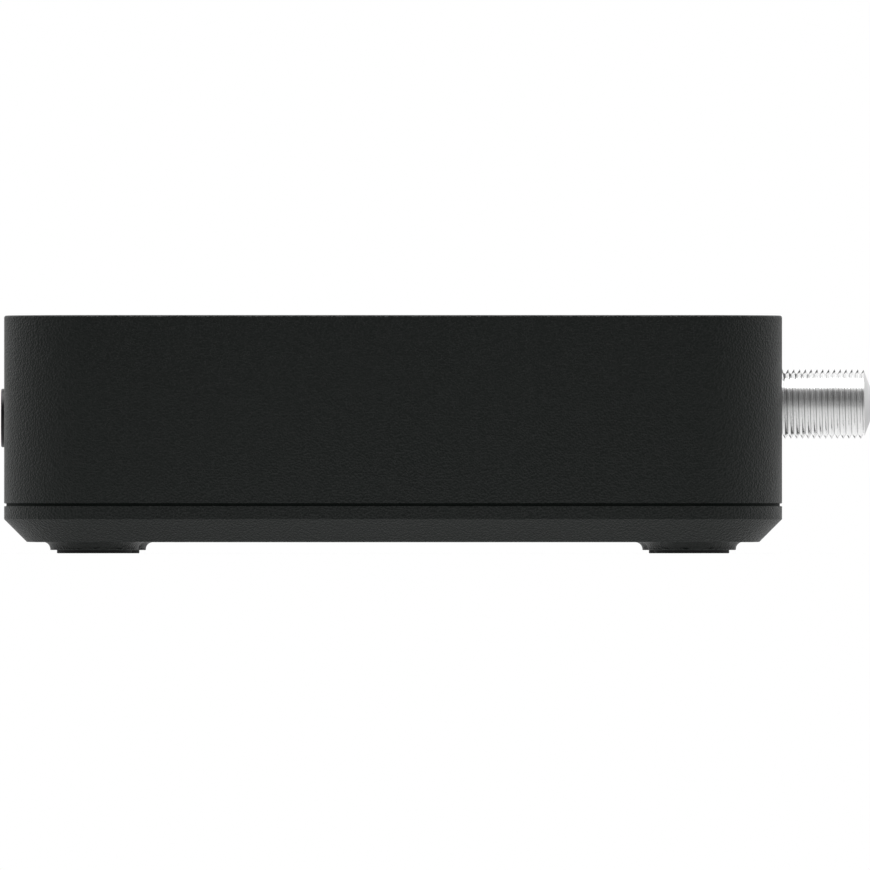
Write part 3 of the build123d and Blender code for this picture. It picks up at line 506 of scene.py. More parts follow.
def copies(piece, offsets):
    """Puts copies in the piece's stead, each moved by its offset and with its own mesh."""
    made = []
    for offset in offsets:
        twin = piece.copy()
        twin.data = piece.data.copy()
        twin.data.transform(Matrix.Translation(offset))
        scene.collection.objects.link(twin)
        made.append(twin)
    bpy.data.objects.remove(piece)
    return made


def row(piece, pitch, count, name):
    """One object of a shape's copies, side by side from where it is."""
    return joined(copies(piece, [Vector((i * pitch, 0, 0)) for i in range(count)]), name)


def joined(pieces, name):
    """One object from several."""
    let_go()
    for piece in pieces:
        piece.select_set(True)
    bpy.context.view_layer.objects.active = pieces[0]
    if len(pieces) > 1:
        bpy.ops.object.join()
    return named(name)


def apply(piece, kind, **settings):
    """Adds a modifier with its settings and applies it."""
    modifier = piece.modifiers.new(kind.lower(), kind)
    for key, value in settings.items():
        setattr(modifier, key, value)
    take(piece)
    bpy.ops.object.modifier_apply(modifier=modifier.name)


def combine(piece, tool, operation):
    """Cuts, adds or keeps what the tool shape says, and uses the tool up."""
    apply(piece, "BOOLEAN", operation=operation, solver="EXACT", object=tool)
    bpy.data.objects.remove(tool)
    edit(piece)
    merge_points()
    let_go()


def cut(piece, *tools):
    for tool in tools:
        combine(piece, tool, "DIFFERENCE")


def add(piece, *tools):
    for tool in tools:
        combine(piece, tool, "UNION")


def soften(piece, width, segments=2, angle=50):
    """Rounds every edge that is sharper than the angle."""
    limit = {"limit_method": "ANGLE", "angle_limit": math.radians(angle)}
    style = {"use_clamp_overlap": False, "miter_outer": "MITER_ARC"}
    apply(piece, "BEVEL", width=width, segments=segments, **limit, **style)


def smooth(piece, angle):
    """Smooth shading that keeps flat faces flat."""
    take(piece)
    bpy.ops.object.shade_smooth_by_angle(angle=math.radians(angle))
    apply(piece, "WEIGHTED_NORMAL", keep_sharp=True, weight=100)
    let_go()


def middle_of(node):
    """The middle of a construction node's box."""
    low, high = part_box(node)
    return (low + high) / 2


def axis_of(node):
    """A point at y = 0 on the line through a node's middle, from front to rear."""
    return middle_of(node) * Vector((1, 0, 1))


# ==== Shared surface effects ====
def new_effect(name, knob, kind):
    """An empty shader group that takes a place and one knob, and puts out a height and a tone."""
    group = bpy.data.node_groups.new(name, "ShaderNodeTree")
    group.interface.new_socket("Vector", in_out="INPUT", socket_type="NodeSocketVector")
    group.interface.new_socket(knob, in_out="INPUT", socket_type=kind)
    for label in ("Height", "Tone"):
        group.interface.new_socket(label, in_out="OUTPUT", socket_type="NodeSocketFloat")
    return group, group.nodes.new("NodeGroupInput").outputs


def put_out(group, height, tone):
    """Closes a shader group with the two things it puts out."""
    end = group.nodes.new("NodeGroupOutput")
    group.links.new(height, end.inputs["Height"])
    group.links.new(tone, end.inputs["Tone"])
    return group


def add_noise(group, place, scale, detail, **more):
    node = add_node(group, "TexNoise", in_Vector=place, in_Scale=scale, in_Detail=detail, **more)
    return node.outputs["Fac"]


def make_mould_grain():
    """Fine wavy spark-eroded grain, as on moulded plastic."""
    group, given = new_effect("mould_grain", "Scale", "NodeSocketFloat")
    place, scale = given["Vector"], given["Scale"]
    waves = add_noise(group, place, scale, 2.0, in_Roughness=0.45)
    finer = compute(group, "MULTIPLY", scale, 1.7)
    pits = add_node(
        group, "TexVoronoi", feature="SMOOTH_F1", in_Vector=place, in_Scale=finer, in_Smoothness=0.6
    ).outputs["Distance"]
    blend = add_node(group, "Mix", data_type="FLOAT", in_0=0.85, in_2=waves, in_3=pits)
    return put_out(group, blend.outputs[0], add_noise(group, place, 60.0, 3.0))


def make_fine_streaks():
    """Long faint streaks along one axis, as on rolled, turned or drawn metal."""
    group, given = new_effect("fine_streaks", "Stretch", "NodeSocketVector")
    place, stretch = given["Vector"], given["Stretch"]
    squeeze = add_node(group, "VectorMath", operation="MULTIPLY", in_0=place, in_1=stretch)
    lines = add_noise(group, squeeze.outputs[0], 1.0, 4.0)
    return put_out(group, lines, add_noise(group, place, 180.0, 2.0))


mould_grain = make_mould_grain()
fine_streaks = make_fine_streaks()


# ==== Materials ====
finishes = {}
faint_depth = 0.01 * mm


def new_finish(name, colour, roughness, **levels):
    """A named material with its shader's own values set."""
    material = finishes[name] = bpy.data.materials.new(name)
    material.use_nodes = True
    tree = material.node_tree
    shader = tree.nodes["Principled BSDF"]
    levels.update(Base_Color=(*colour, 1), Roughness=roughness)
    for label, level in levels.items():
        shader.inputs[label.replace("_", " ")].default_value = level
    return tree, shader


def add_relief(tree, shader, height, strength, depth):
    """Feeds a height to the shader's normal."""
    bump = add_node(tree, "Bump", in_Strength=strength, in_Distance=depth, in_Height=height)
    tree.links.new(bump.outputs["Normal"], shader.inputs["Normal"])


def spread(tree, noise, low, high):
    """Maps 0..1 noise round its middle to low..high."""
    return ramp(tree, noise, (0.3, 0.7), (low, high), "LINEAR")


def add_effect(tree, shader, group, knob, relief, roughness, drift):
    """Feeds a shared effect to the relief and the drifting roughness, and returns its tone."""
    effect = add_node(tree, "Group", node_tree=group, in_0=surface_place(tree), in_1=knob)
    add_relief(tree, shader, effect.outputs["Height"], *relief)
    levels = spread(tree, effect.outputs["Tone"], *(roughness * share for share in drift))
    tree.links.new(levels, shader.inputs["Roughness"])
    return effect.outputs["Tone"]


def shade_between(tree, shader, mask, dark, light):
    """Colours the surface between two close colours by a mask."""
    mix = add_node(tree, "Mix", data_type="RGBA", in_0=mask, in_6=(*dark, 1), in_7=(*light, 1))
    tree.links.new(mix.outputs[2], shader.inputs["Base Color"])


def grained_plastic(name, colour, roughness, relief=0.5, scale=1500.0, depth=0.12 * mm, gloss=0.5):
    """Moulded plastic with a spark-eroded grain."""
    tree, shader = new_finish(name, colour, roughness, Specular_IOR_Level=gloss)
    tone = add_effect(tree, shader, mould_grain, scale, (relief, depth), roughness, (0.97, 1.03))
    dark, light = ([c * share for c in colour] for share in (0.96, 1.04))
    shade_between(tree, shader, spread(tree, tone, 0.0, 1.0), dark, light)


def polished_plastic(name, colour, roughness, coat=0.3):
    """Polished moulding with a faint flow ripple."""
    tree, shader = new_finish(name, colour, roughness, Coat_Weight=coat, Coat_Roughness=0.04)
    add_effect(tree, shader, mould_grain, 260.0, (0.05, faint_depth), roughness, (0.8, 1.25))


def tinted_resin(name, colour, roughness, clear):
    """Cast resin that lets some light through, with a faint haze."""
    tree, shader = new_finish(name, colour, roughness, Transmission_Weight=clear, IOR=1.5)
    add_effect(tree, shader, mould_grain, 500.0, (0.05, faint_depth), roughness, (0.7, 1.4))


def streaked_metal(name, colour, roughness, stretch, relief=0.15):
    """Rolled, plated or turned metal with streaks along one axis."""
    tree, shader = new_finish(name, colour, roughness, Metallic=1.0)
    relief = (relief, faint_depth)
    tone = add_effect(tree, shader, fine_streaks, stretch, relief, roughness, (0.8, 1.3))
    shade_between(tree, shader, tone, [c * 0.92 for c in colour], colour)


def laminate(name, mask, copper):
    """Board laminate: solder mask with copper tracks showing faintly through it."""
    tree, shader = new_finish(name, mask, 0.35)
    grid = {"distance": "CHEBYCHEV", "in_Scale": 900.0, "in_Randomness": 0.6}
    cells = add_node(tree, "TexVoronoi", in_Vector=surface_place(tree), **grid)
    tracks = compute(tree, "GREATER_THAN", cells.outputs["Distance"], 0.36)
    shade_between(tree, shader, tracks, mask, copper)
    add_relief(tree, shader, tracks, 0.2, 0.02 * mm)


along_y = (40000.0, 4000.0, 40000.0)
across_x = (4000.0, 40000.0, 40000.0)
round_y = (9000.0, 90000.0, 9000.0)
upright_z = (40000.0, 40000.0, 4000.0)

case_black = (0.0012, 0.004, 0.0026)
grained_plastic("case_plastic", case_black, 0.47, 0.88, 2100.0, 0.21 * mm, gloss=0.34)
grained_plastic("gap_plastic", case_black, 0.7, 0.3, gloss=0.18)
grained_plastic("panel_plastic", (0.006, 0.0066, 0.0063), 0.5, relief=0.35)
grained_plastic("foot_rubber", (0.005, 0.005, 0.005), 0.75, 0.3, 5200.0, gloss=0.3)
polished_plastic("button_plastic", (0.003, 0.003, 0.0033), 0.34, coat=0.0)
polished_plastic("lens_plastic", (0.003, 0.003, 0.004), 0.08, coat=0.6)
polished_plastic("rocker_plastic", (0.007, 0.007, 0.0075), 0.24)
grained_plastic("mark_paint", (0.72, 0.72, 0.71), 0.5, relief=0.1)
grained_plastic("socket_plastic", (0.016, 0.016, 0.017), 0.45, 0.3, 4200.0)
grained_plastic("tongue_plastic", (0.02, 0.02, 0.022), 0.4, 0.2, 4200.0)
grained_plastic("shutter_plastic", (0.012, 0.012, 0.013), 0.38, 0.2, 4200.0)
grained_plastic("insulator_plastic", (0.83, 0.82, 0.78), 0.42, 0.1, 3000.0)
grained_plastic("plunger_plastic", (0.55, 0.05, 0.04), 0.4, 0.15)
grained_plastic("switch_plastic", (0.03, 0.03, 0.032), 0.45, 0.2)
grained_plastic("header_plastic", (0.78, 0.76, 0.68), 0.45, 0.2)
grained_plastic("chip_epoxy", (0.018, 0.018, 0.019), 0.55, 0.5, 7000.0)
grained_plastic("coil_ferrite", (0.06, 0.06, 0.065), 0.6, 0.6, 6000.0)
grained_plastic("pad_silicone", (0.35, 0.4, 0.5), 0.7, 0.2)
laminate("board_laminate", (0.006, 0.05, 0.022), (0.012, 0.085, 0.035))
polished_plastic("display_resin", (0.03, 0.03, 0.032), 0.25)
tinted_resin("infrared_resin", (0.03, 0.012, 0.03), 0.12, 0.3)
tinted_resin("lamp_resin", (0.7, 0.05, 0.04), 0.15, 0.5)
tinted_resin("lamp_window", (0.78, 0.62, 0.2), 0.2, 0.4)
streaked_metal("nickel_plate", (0.975, 0.975, 0.975), 0.16, round_y, relief=0.06)
# matt faced finish for the coned end, partly real roughness and partly painted shade in its darker colour
streaked_metal("faced_shade_nickel", (0.76, 0.76, 0.76), 0.5, round_y)
# painted shade: a darker nickel for the thread's root faces, standing in for the shade in the grooves
streaked_metal("root_shade_nickel", (0.4, 0.4, 0.4), 0.3, round_y)
streaked_metal("contact_plate", (0.83, 0.62, 0.27), 0.22, along_y)
streaked_metal("shield_tinplate", (0.7, 0.7, 0.68), 0.3, across_x)
streaked_metal("tray_steel", (0.56, 0.57, 0.58), 0.3, across_x)
streaked_metal("screw_steel", (0.5, 0.5, 0.5), 0.3, upright_z)
streaked_metal("crystal_steel", (0.66, 0.66, 0.66), 0.22, upright_z)
streaked_metal("can_aluminium", (0.72, 0.73, 0.75), 0.28, upright_z)
streaked_metal("heatsink_aluminium", (0.55, 0.56, 0.57), 0.38, along_y)


def paint(piece, finish):
    """Gives a piece one finish all over."""
    piece.data.materials.clear()
    piece.data.materials.append(finishes[finish])


def dress(piece, finish, *replaced, body="chassis", slot=None, angle=30):
    """Shades a piece and gives it its finish, its body and the nodes that it stands for."""
    smooth(piece, angle)
    paint(piece, finish)
    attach(piece, body)
    if replaced:
        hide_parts(*replaced)


def face_with(piece, finish, wanted):
    """Gives the faces that pass the test a second finish."""
    piece.data.materials.append(finishes[finish])
    edit_faces(piece, wanted)
    piece.active_material_index = len(piece.data.materials) - 1
    bpy.ops.object.material_slot_assign()
    let_go()


# ==== Case ====
def case_block(name, bottom, top):
    """A block with the case's outline."""
    low, high = (left_side, front_face, bottom), (right_side, rear_face, top)
    return block(name, low, high, corner_radius, segments=corner_steps)


def make_top_cover():
    """Deep cover with its vents, openings, screw bosses and display posts."""
    cover = case_block("cover_shell", seam, cover_top)
    bevel_edges(cover, level_edge(cover_top), top_edge_radius, 4)
    edit_faces(cover, facing(2, -1))
    bpy.ops.mesh.inset(thickness=wall, use_even_offset=True)
    extrude((0, 0, ceiling - seam))

    bosses, pilots = [], []
    for centre in map(middle_of, foot_names):
        for group, radius, top in (
            (bosses, cover_boss_radius, ceiling + wall / 2),
            (pilots, pilot_radius, pilot_top),
        ):
            length = top - cover_boss_bottom
            place = (centre.x, centre.y, cover_boss_bottom + length / 2)
            group.append(rod("boss", place, radius, length))
    display_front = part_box("display_board")[0].y
    length = display_front - front_inside + wall / 2
    for x, z in display_screw_places():
        place = (x, display_front - length / 2, z)
        bosses.append(rod("post", place, post_radius, length, axis=1))
        place = (x, display_front - post_pilot_depth / 2, z)
        pilots.append(rod("pilot", place, post_pilot_radius, post_pilot_depth, axis=1))
    add(cover, joined(bosses, "bosses"))
    cut(cover, joined(pilots, "pilots"))

    cut(cover, front_openings(), rear_openings(), card_opening(), top_vents())
    soften(cover, moulded_edge)
    dress(cover, "case_plastic", "top_cover")


def display_screw_places():
    """Across and up: the middles of the two screws, whose heads are as high as their node."""
    low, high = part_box("display_screws")
    head = (high.z - low.z) / 2
    return [(x, (low.z + high.z) / 2) for x in (low.x + head, high.x - head)]


def front_openings():
    """Through holes for the display window and the button."""
    low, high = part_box("front_window")
    border = window_flange - window_gap
    corner = (low.x + border, front_face - wall, low.z + border)
    far = (high.x - border, front_inside + wall / 2, high.z - border)
    window = pill("window_hole", corner, far, axis=1, segments=16)
    low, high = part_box("power_button")
    radius = (high.x - low.x) / 2 - button_flange + button_gap
    place = middle_of("power_button")
    place.y = front_face
    hole = rod("button_hole", place, radius, 4 * wall, axis=1, steps=round_steps)
    return joined([window, hole], "front_openings")


def rear_openings():
    """The rear window with the rebate that the panel sits in."""
    inset = Vector((panel_overlap, 0, panel_overlap))
    slack = Vector((panel_gap, 0, panel_gap))
    ahead, behind = Vector((0, -wall, 0)), Vector((0, 2 * wall, 0))
    low, high = panel_low + ahead, panel_high
    window = block("window", low + inset, high - inset + behind, panel_corner, axis=1)
    rebate = block("rebate", low - slack, high + slack, panel_corner, axis=1)
    add(window, rebate)
    return window


def card_opening():
    """A flat slot in the left wall whose mouth flares outwards."""
    low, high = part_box("card_reader")
    middle = Vector((left_side, (low.y + high.y) / 2, low.z + card_slot_rise))
    half = Vector(card_slot_half)
    slot = block("card_slot", middle - half, middle + half)
    half.x = card_slot_flare
    flare = block("flare", middle - half, middle + half)
    edit_faces(flare, facing(0, -1))
    grow = [1] + [1 + 2 * card_slot_flare / side for side in half.yz]
    bpy.ops.transform.resize(value=grow, center_override=middle - Vector((half.x, 0, 0)))
    add(slot, flare)
    return slot


def vent_slots(middle, half, count, rows=(0,)):
    """Rows of slots about the middle."""
    one = pill("vent", middle - half, middle + half)
    across = [(i - (count - 1) / 2) * vent_pitch for i in range(count)]
    return joined(copies(one, [Vector((x, y, 0)) for y in rows for x in across]), "vents")


def top_vents():
    """One row of slots over the sockets."""
    middle = Vector(((left_side + right_side) / 2, rear_face - top_vent_from_rear, cover_top - wall / 2))
    return vent_slots(middle, top_vent_half, top_vent_count)


def make_base_tray():
    """Tray with its chamfer, shadow gap, lip, feet bosses, standoffs, vents and plate recess."""
    tray = case_block("tray_shell", floor_bottom, shadow_gap_bottom)
    bevel_edges(tray, level_edge(floor_bottom), base_chamfer, 1)
    edit_faces(tray, facing(2))
    for inset, rise in (
        (shadow_gap_depth, shadow_gap_height),
        (wall + lip_gap - shadow_gap_depth, lip_height),
        (lip_thickness, floor_top - (seam + lip_height)),
    ):
        bpy.ops.mesh.inset(thickness=inset, use_even_offset=True)
        extrude((0, 0, rise))
    bevel_edges(tray, level_edge(floor_top), tray_well_chamfer, 1)

    bosses, wells = [], []
    for centre in map(middle_of, foot_names):
        bosses.append(turned("boss", foot_boss_profile(), (centre.x, centre.y, 0)))
        wells.append(turned("well", screw_well_profile(), (centre.x, centre.y, 0)))
    board_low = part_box("main_board")[0].z
    length = board_low - floor_bottom - wall / 2
    for x, y in standoff_places():
        bosses.append(rod("standoff", (x, y, board_low - length / 2), standoff_radius, length))
        wells.append(rod("pilot", (x, y, board_low), pilot_radius, 2 * standoff_pilot_depth))
    add(tray, joined(bosses, "bosses"))
    cut(tray, joined(wells, "wells"), floor_vents(), plate_recess())
    soften(tray, tray_edge)
    dress(tray, "case_plastic", "base_tray")
    face_with(tray, "gap_plastic", in_shadow_gap)


def in_shadow_gap(centre, normal):
    return abs(normal.z) < 0.9 and shadow_gap_bottom < centre.z < seam


def foot_boss_profile():
    """Boss that flares into the underside, with the screw boss above the floor."""
    wide, inside = foot_boss_radius + foot_boss_flare, floor_bottom + wall / 2
    flare = arc((wide, floor_bottom - foot_boss_flare), foot_boss_flare, 180, 90, 8)
    tower = [(wide, inside), (screw_boss_radius, inside), (screw_boss_radius, screw_boss_top)]
    return [(0, foot_proud), (foot_boss_radius, foot_proud), *flare, *tower, (0, screw_boss_top)]


def screw_well_profile():
    """Recess for the rubber foot, then the screw head's well and its hole."""
    foot_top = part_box("foot_front_left")[1].z
    head = (screw_head_radius, foot_top + screw_head_depth)
    return stack(0, (foot_recess_radius, foot_top), head, (screw_hole_radius, screw_hole_top))


def standoff_places():
    """The four main board screws, at the places that their node's box and the sockets give."""
    low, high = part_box("board_screws")
    left, right = low.x + board_screw_radius, high.x - board_screw_radius
    front, rear = low.y + board_screw_radius, high.y - board_screw_radius
    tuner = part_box("tuner_shield")[0].y - tuner_screw_gap
    return [(left, front), (right, front), (left, rear), (right, tuner)]


def floor_vents():
    """Two rows of slots under the processor."""
    middle = middle_of("processor")
    middle.x += floor_vent_shift
    middle.z = floor_bottom + wall / 2
    return vent_slots(middle, floor_vent_half, floor_vent_count, (-floor_vent_row, floor_vent_row))


def plate_recess():
    """A shallow blank recess for a rating plate."""
    middle = Vector((plate_place, case_middle, floor_bottom))
    return block("plate", middle - plate_half, middle + plate_half, plate_corner)


def make_foot(name):
    """Rubber disc with rounded rims and a dished sole."""
    low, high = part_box(name)
    radius, top, edge = (high.x - low.x) / 2, high.z, foot_edge
    dish = [(0, foot_dish_depth), (foot_dish, foot_dish_depth), (foot_dish_rim, 0)]
    lower = arc((radius - edge, edge), edge, -90, 0, 4)
    upper = arc((radius - edge, top - edge), edge, 0, 90, 4)
    middle = (low + high) / 2
    profile = [*dish, *lower, *upper, (0, top)]
    foot = turned("rubber_" + name, profile, (middle.x, middle.y, 0), steps=round_steps)
    dress(foot, "foot_rubber", name)


def panel_hole(name, across, up):
    """A hole through the rear panel, larger than a node's box by these gaps."""
    corner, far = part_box(name)
    corner.y, far.y = panel_low.y - wall, panel_high.y + wall
    corner.z += hdmi_sill if name == "hdmi_socket" else 0
    gap = Vector((across, 0, up))
    return block("hole", corner - gap, far + gap)


def make_rear_panel():
    """Flat plate with a cut-out for each socket."""
    panel = block("socket_plate", panel_low, panel_high, panel_corner, axis=1)
    for name in ("lan_socket", "usb_socket", "hdmi_socket", "optical_socket", "dc_socket"):
        cut(panel, panel_hole(name, socket_gap, socket_gap))
    cut(panel, panel_hole("rocker_housing", *rocker_gap))
    place = middle_of("lnb_socket")
    place.y = (panel_low.y + panel_high.y) / 2
    cut(panel, rod("hole", place, barrel_hole_radius, 4 * wall, axis=1, steps=round_steps))
    soften(panel, moulded_edge)
    dress(panel, "panel_plastic", "rear_panel")


# ==== Front ====
def make_front_window():
    """Pill-shaped lens with a rounded rim, on the flange behind the wall."""
    low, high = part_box("front_window")
    border = Vector((window_flange, 0, window_flange))
    lens = pill("display_lens", low + border, high - border, axis=1, segments=24)
    bevel_edges(lens, level_edge(low.y, axis=1), window_edge, 5)
    flange_front = Vector((0, high.y - low.y - window_flange_thickness, 0))
    add(lens, pill("flange", low + flange_front, high, axis=1, segments=24))
    dress(lens, "lens_plastic", "front_window")


def make_power_button():
    """Turned cap with a rounded rim, a flange and a stem, engraved with a power mark."""
    low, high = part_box("power_button")
    axis = axis_of("power_button")
    radius, edge = (high.x - low.x) / 2 - button_flange, button_edge
    flange_front, flange_back = (front_inside + face for face in button_flange_faces)
    rim = arc((radius - edge, low.y + edge), edge, -90, 0, 6)
    wide = radius + button_flange
    flange = [(radius, flange_front), (wide, flange_front), (wide, flange_back)]
    stem = [(button_stem_radius, flange_back), (button_stem_radius, high.y), (0, high.y)]
    profile = [(0, low.y), *rim, *flange, *stem]
    cap = turned("button_cap", profile, axis, axis=1, steps=round_steps)
    cut(cap, *power_mark(low.y - engraving, 2 * engraving))
    dress(cap, "button_plastic", "power_button", body="button")
    mark = joined(power_mark(low.y + paint_depth, paint_thickness), "power_mark")
    dress(mark, "mark_paint", body="button", slot="button_plastic")


def open_ring(centre, depth):
    """The power mark's ring, from centre backwards, open at the top."""
    let_go()
    place = centre + Vector((0, depth / 2, power_mark_radius))
    bpy.ops.mesh.primitive_plane_add(size=1, rotation=(0, math.pi / 2, 0), location=place)
    bpy.context.object.scale = (power_mark_line, depth, 1)
    ring = settle("ring")
    turn(ring, -power_mark_gap / 2, "Y", centre)
    edit(ring)
    angle = 2 * math.pi - power_mark_gap
    bpy.ops.mesh.spin(steps=64, angle=angle, center=centre, axis=(0, 1, 0))
    close_up()
    return ring


def power_mark(front, depth):
    """An open ring and a bar in its gap, from the front backwards."""
    centre = axis_of("power_button") + Vector((0, front, 0))
    half = power_mark_line / 2
    low, high = Vector((-half, 0, power_bar_foot)), Vector((half, depth, power_bar_top))
    return [open_ring(centre, depth), block("bar", centre + low, centre + high)]


# ==== Antenna socket ====
def make_lnb_socket():
    """Barrel with a right-handed 3/8-32 thread, a coned end and a flange inside the shield."""
    low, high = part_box("lnb_socket")
    axis = axis_of("lnb_socket")
    start, tip = panel_high.y + thread_gap, high.y
    cone_foot = tip - barrel_cone
    barrel = v_thread("antenna_barrel", tip - start + 3 * thread_pitch)
    turn(barrel, -math.pi / 2, "X", (0, 0, 0))
    top = max(vertex.co.y for vertex in barrel.data.vertices)
    shift = tip + thread_pitch - top + thread_phase
    barrel.data.transform(Matrix.Translation(axis + Vector((0, shift, 0))))
    wide = barrel_cone_radius
    limit = [(0, start), (wide, start), (wide, cone_foot), (barrel_tip_radius, tip), (0, tip)]
    combine(barrel, turned("limit", limit, axis, axis=1, steps=round_steps), "INTERSECT")
    flange = (barrel_flange_radius, low.y + barrel_flange)
    core = stack(low.y, flange, (barrel_core_radius, start + barrel_core_overlap))
    add(barrel, turned("core", core, axis, axis=1, steps=round_steps))
    length = 2 * (tip - low.y)
    cut(barrel, rod("bore", middle_of("lnb_socket"), barrel_bore, length, axis=1, steps=64))
    dress(barrel, "nickel_plate", "lnb_socket", angle=20)

    def on_coned_end(centre, normal):
        return normal.y > 0.9 and centre.y > cone_foot

    def on_thread_root(centre, normal):
        radius = math.hypot(centre.x - axis.x, centre.z - axis.z)
        return barrel_bore < radius < thread_root + hair and start < centre.y < cone_foot

    # the coned end face: a real matt faced finish, whose darker colour is painted shade
    face_with(barrel, "faced_shade_nickel", on_coned_end)
    # painted shade: the root faces of the thread get the darker nickel, as dark lines where shade falls in
    # the grooves
    face_with(barrel, "root_shade_nickel", on_thread_root)


def v_thread(name, length):
    """One V of the thread, screwed up the Z axis and closed at both ends."""
    crest, root, pitch, half_root = thread_crest, thread_root, thread_pitch, thread_root_width / 2
    flank = (crest - root) / math.tan(math.radians(60))
    crest_start = half_root + flank
    heights = (0, half_root, crest_start, pitch - crest_start, pitch - half_root, pitch)
    radii = (root, root, crest, crest, root, root)
    thread = drawn_line(name, [(radius, 0, height) for radius, height in zip(radii, heights)])
    turns = math.ceil(length / pitch)
    apply(thread, "SCREW", axis="Z", screw_offset=pitch, iterations=turns, steps=72, render_steps=72)
    edit(thread)
    merge_points(1e-6)
    bpy.ops.mesh.select_all(action="DESELECT")
    bpy.ops.mesh.select_mode(type="EDGE")
    bpy.ops.mesh.select_non_manifold()
    bpy.ops.mesh.fill_holes(sides=0)
    close_up()
    return thread


def rim_and_mouth(face, outer, edge, hole, mouth):
    """Profile over a round end, from its chamfered edge to the cone that leads into its hole."""
    across, deep = mouth
    return [(outer, face - edge), (outer - edge, face), (hole + across, face), (hole, face - deep)]


def make_lnb_middle():
    """White insulator and the sprung contact in it."""
    low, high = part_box("lnb_insulator")
    axis = axis_of("lnb_insulator")
    outer, hole = (high.x - low.x) / 2 - insulator_gap, insulator_hole
    end = rim_and_mouth(high.y, outer, insulator_edge, hole, insulator_mouth)
    profile = [(hole, low.y), (outer, low.y), *end]
    insulator = turned("barrel_insulator", profile, axis, axis=1, steps=48)
    dress(insulator, "insulator_plastic", "lnb_insulator")
    low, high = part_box("lnb_contact")
    outer, hole = contact_radius, contact_hole
    end = rim_and_mouth(high.y, outer, contact_edge, hole, contact_mouth)
    bottom = high.y - contact_hole_depth
    profile = [(0, low.y), (outer, low.y), *end, (hole, bottom), (0, bottom)]
    contact = turned("centre_contact", profile, axis, axis=1, steps=32)
    dress(contact, "contact_plate", "lnb_contact")


# ==== Sockets and board parts ====
def refined(node, body="chassis", segments=2, finish=None):
    """A merged copy of a construction node with its sharp edges rounded."""
    let_go()
    piece = bpy.data.objects.new(node + "_body", nodes[node].data.copy())
    scene.collection.objects.link(piece)
    edit(piece)
    merge_points(1e-6)
    bpy.ops.mesh.dissolve_limited(angle_limit=math.radians(1))
    let_go()
    soften(piece, finer_edges.get(node, usual_edge), segments, angle=40)
    edit(piece)
    bpy.ops.mesh.dissolve_degenerate(threshold=1e-6)
    dress(piece, finish or slot_of[node], node, body=body, slot=slot_of[node])


def t_shape(name, shrink, low, high):
    """The network opening: a box with a latch notch on top."""
    middle = (low.x + high.x) / 2
    inset = Vector((shrink, 0, shrink))
    lower = block(name, low + inset, high - inset)
    half = latch_width / 2 - shrink
    far = (middle + half, high.y, high.z + latch_rise - shrink)
    add(lower, block("latch", (middle - half, low.y, high.z - latch_overlap), far))
    return lower


def make_lan_socket():
    """Tinplate shell with a plastic liner, sprung wires and two lamp windows."""
    refined("lan_socket", finish="shield_tinplate")
    low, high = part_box("lan_socket")
    middle, sill = (low.x + high.x) / 2, low.z + lan_sill
    half = lan_mouth_width / 2
    corner = Vector((middle - half, high.y - lan_mouth_depth, sill))
    far = Vector((middle + half, high.y - lan_mouth_inset, sill + lan_mouth_height))
    beside, before = liner_gap
    liner = t_shape("lan_liner", beside, corner + Vector((0, before, 0)), far)
    floor = Vector((0, liner_floor, 0))
    cut(liner, t_shape("hollow", liner_wall, corner + floor, far + floor))
    soften(liner, liner_edge)
    dress(liner, "socket_plastic")
    refined("lan_lamps")

    low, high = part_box("lan_contacts")
    bottom = low.z + lan_wire_rise
    far = (low.x + lan_wire_width, high.y, bottom + lan_wire_thickness)
    wire = block("wire", (low.x, low.y, bottom), far)
    edit_faces(wire, facing(1))
    first, *bends = lan_wire_bends
    bpy.ops.transform.translate(value=(0, *first))
    for bend in bends:
        extrude((0, *bend))
    wires = row(wire, (high.x - low.x - lan_wire_width) / 7, 8, "lan_wires")
    soften(wires, sheet_edge)
    dress(wires, "contact_plate", "lan_contacts")


def tongue_strips(side, low, high, count, pitch, width):
    """Thin gold strips on the upper or lower face of a plastic tongue."""
    middle, level = (low.x + high.x) / 2, high.z if side == "upper" else low.z
    start = middle - (count - 1) / 2 * pitch
    corner = (start - width / 2, low.y + strip_start, level - strip_proud)
    far = (start + width / 2, high.y - strip_inset, level + strip_proud)
    return row(block("strip", corner, far), pitch, count, side)


def make_usb_socket():
    """Shell with two mouths, each with a tongue, contact strips and grounding springs."""
    refined("usb_socket")
    refined("usb_tongues")
    low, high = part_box("usb_tongues")
    strips = []
    for z in (low.z, high.z - usb_tongue_thickness):
        corner, far = Vector((low.x, low.y, z)), Vector((high.x, high.y, z + usb_tongue_thickness))
        strips.append(tongue_strips("lower", corner, far, *usb_strip_row))
    dress(joined(strips, "usb_strips"), "contact_plate")

    low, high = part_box("usb_socket")
    middle = (low.x + high.x) / 2
    springs = [
        make_spring(middle + side * usb_spring_spread, high.y, low.z + rise)
        for rise in usb_spring_rises
        for side in (-1, 1)
    ]
    springs = joined(springs, "usb_springs")
    soften(springs, sheet_edge)
    dress(springs, "shield_tinplate")


def make_spring(x, face, z):
    """A pressed grounding spring on the floor of a mouth, bowed upwards."""
    back, front = (face - distance for distance in spring_foot)
    low, high = (x - spring_width / 2, back, z), (x + spring_width / 2, front, z)
    spring = block("spring", low, Vector(high) + Vector((0, 0, spring_thickness)))
    edit_faces(spring, facing(1))
    for bend in spring_bow:
        extrude((0, *bend))
    let_go()
    return spring


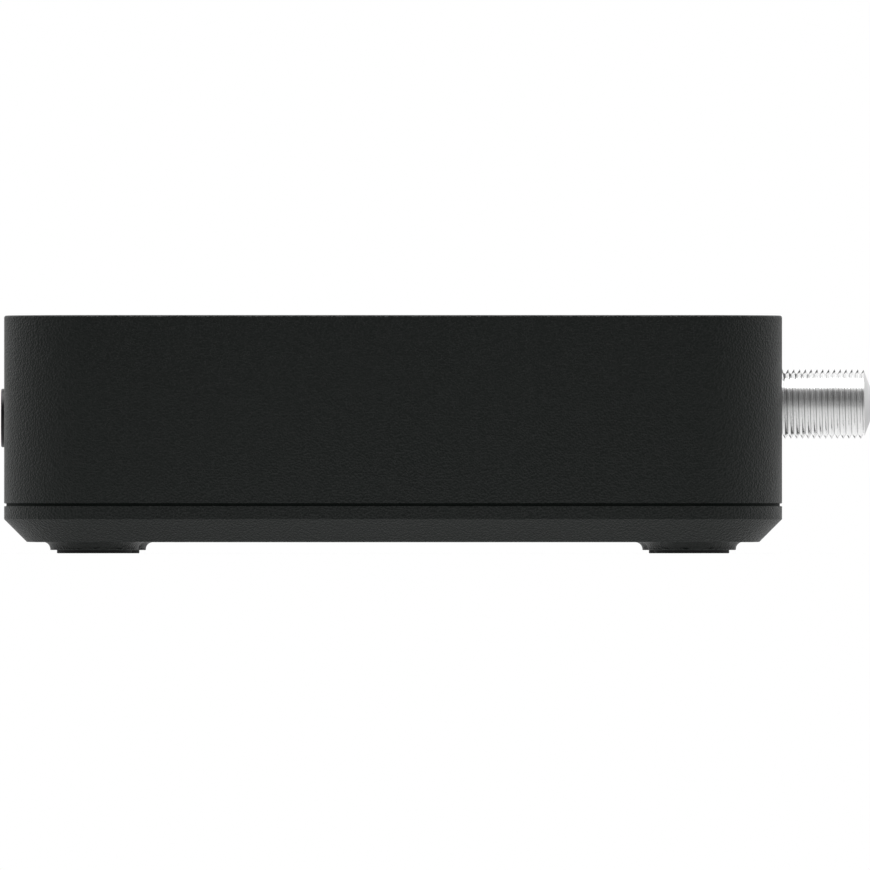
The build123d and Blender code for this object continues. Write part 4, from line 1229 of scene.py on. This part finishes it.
def make_hdmi_socket():
    """Folded shell with cut lower corners, a tongue and its fine contacts."""
    refined("hdmi_socket")
    refined("hdmi_tongue")
    low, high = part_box("hdmi_tongue")
    strips = [tongue_strips(side, low, high, *sizes) for side, sizes in hdmi_strip_rows.items()]
    dress(joined(strips, "hdmi_strips"), "contact_plate")


def make_dc_socket():
    """Plastic power inlet with a sprung pin in its bore."""
    refined("dc_socket")
    low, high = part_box("dc_pin")
    radius = (high.x - low.x) / 2
    tip = arc((radius / 2, high.y - radius / 2), radius / 2, 0, 90, 6)
    profile = [(0, low.y), (radius, low.y), *tip, (0, high.y)]
    pin = turned("centre_pin", profile, axis_of("dc_pin"), axis=1, steps=48)
    dress(pin, "nickel_plate", "dc_pin")


def make_power_rocker():
    """Rocker with a raised bar on its on side and a ring on its off side."""
    refined("power_rocker", "rocker", segments=3)
    pivot = middle_of("rocker_housing")
    pivot.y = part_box("rocker_housing")[1].y - rocker_pivot_depth
    valley = pivot + Vector((-math.sin(rocker_tilt), math.cos(rocker_tilt), 0)) * rocker_waist
    proud, sunk = rocker_mark_proud, rocker_mark_sunk
    bar_half = Vector(rocker_bar_half)
    on_face = valley + Vector((-rocker_mark_reach, proud, 0))
    bar = block("bar", on_face - bar_half - Vector((0, sunk, 0)), on_face + bar_half)
    inner, outer = rocker_ring
    section = [(inner, -sunk), (outer, -sunk), (outer, proud), (inner, proud)]
    ring = turned("ring", section, valley + Vector((rocker_mark_reach, 0, 0)), axis=1)
    turn(ring, 2 * rocker_tilt, "Z", valley)
    marks = joined([bar, ring], "rocker_marks")
    dress(marks, "mark_paint", body="rocker", slot="rocker_plastic")


scene.view_settings.view_transform = "Standard"
make_camera()
make_world()
make_floor()
make_screen()
make_softbox()
make_top_cover()
make_base_tray()
for foot_name in foot_names:
    make_foot(foot_name)
make_rear_panel()
make_front_window()
make_power_button()
make_lnb_socket()
make_lnb_middle()
make_lan_socket()
make_usb_socket()
make_hdmi_socket()
refined("optical_socket")
refined("optical_shutter", "shutter")
make_dc_socket()
refined("rocker_housing", segments=3)
make_power_rocker()

for node_name, slot_name in slot_of.items():
    paint(nodes[node_name], slot_name)
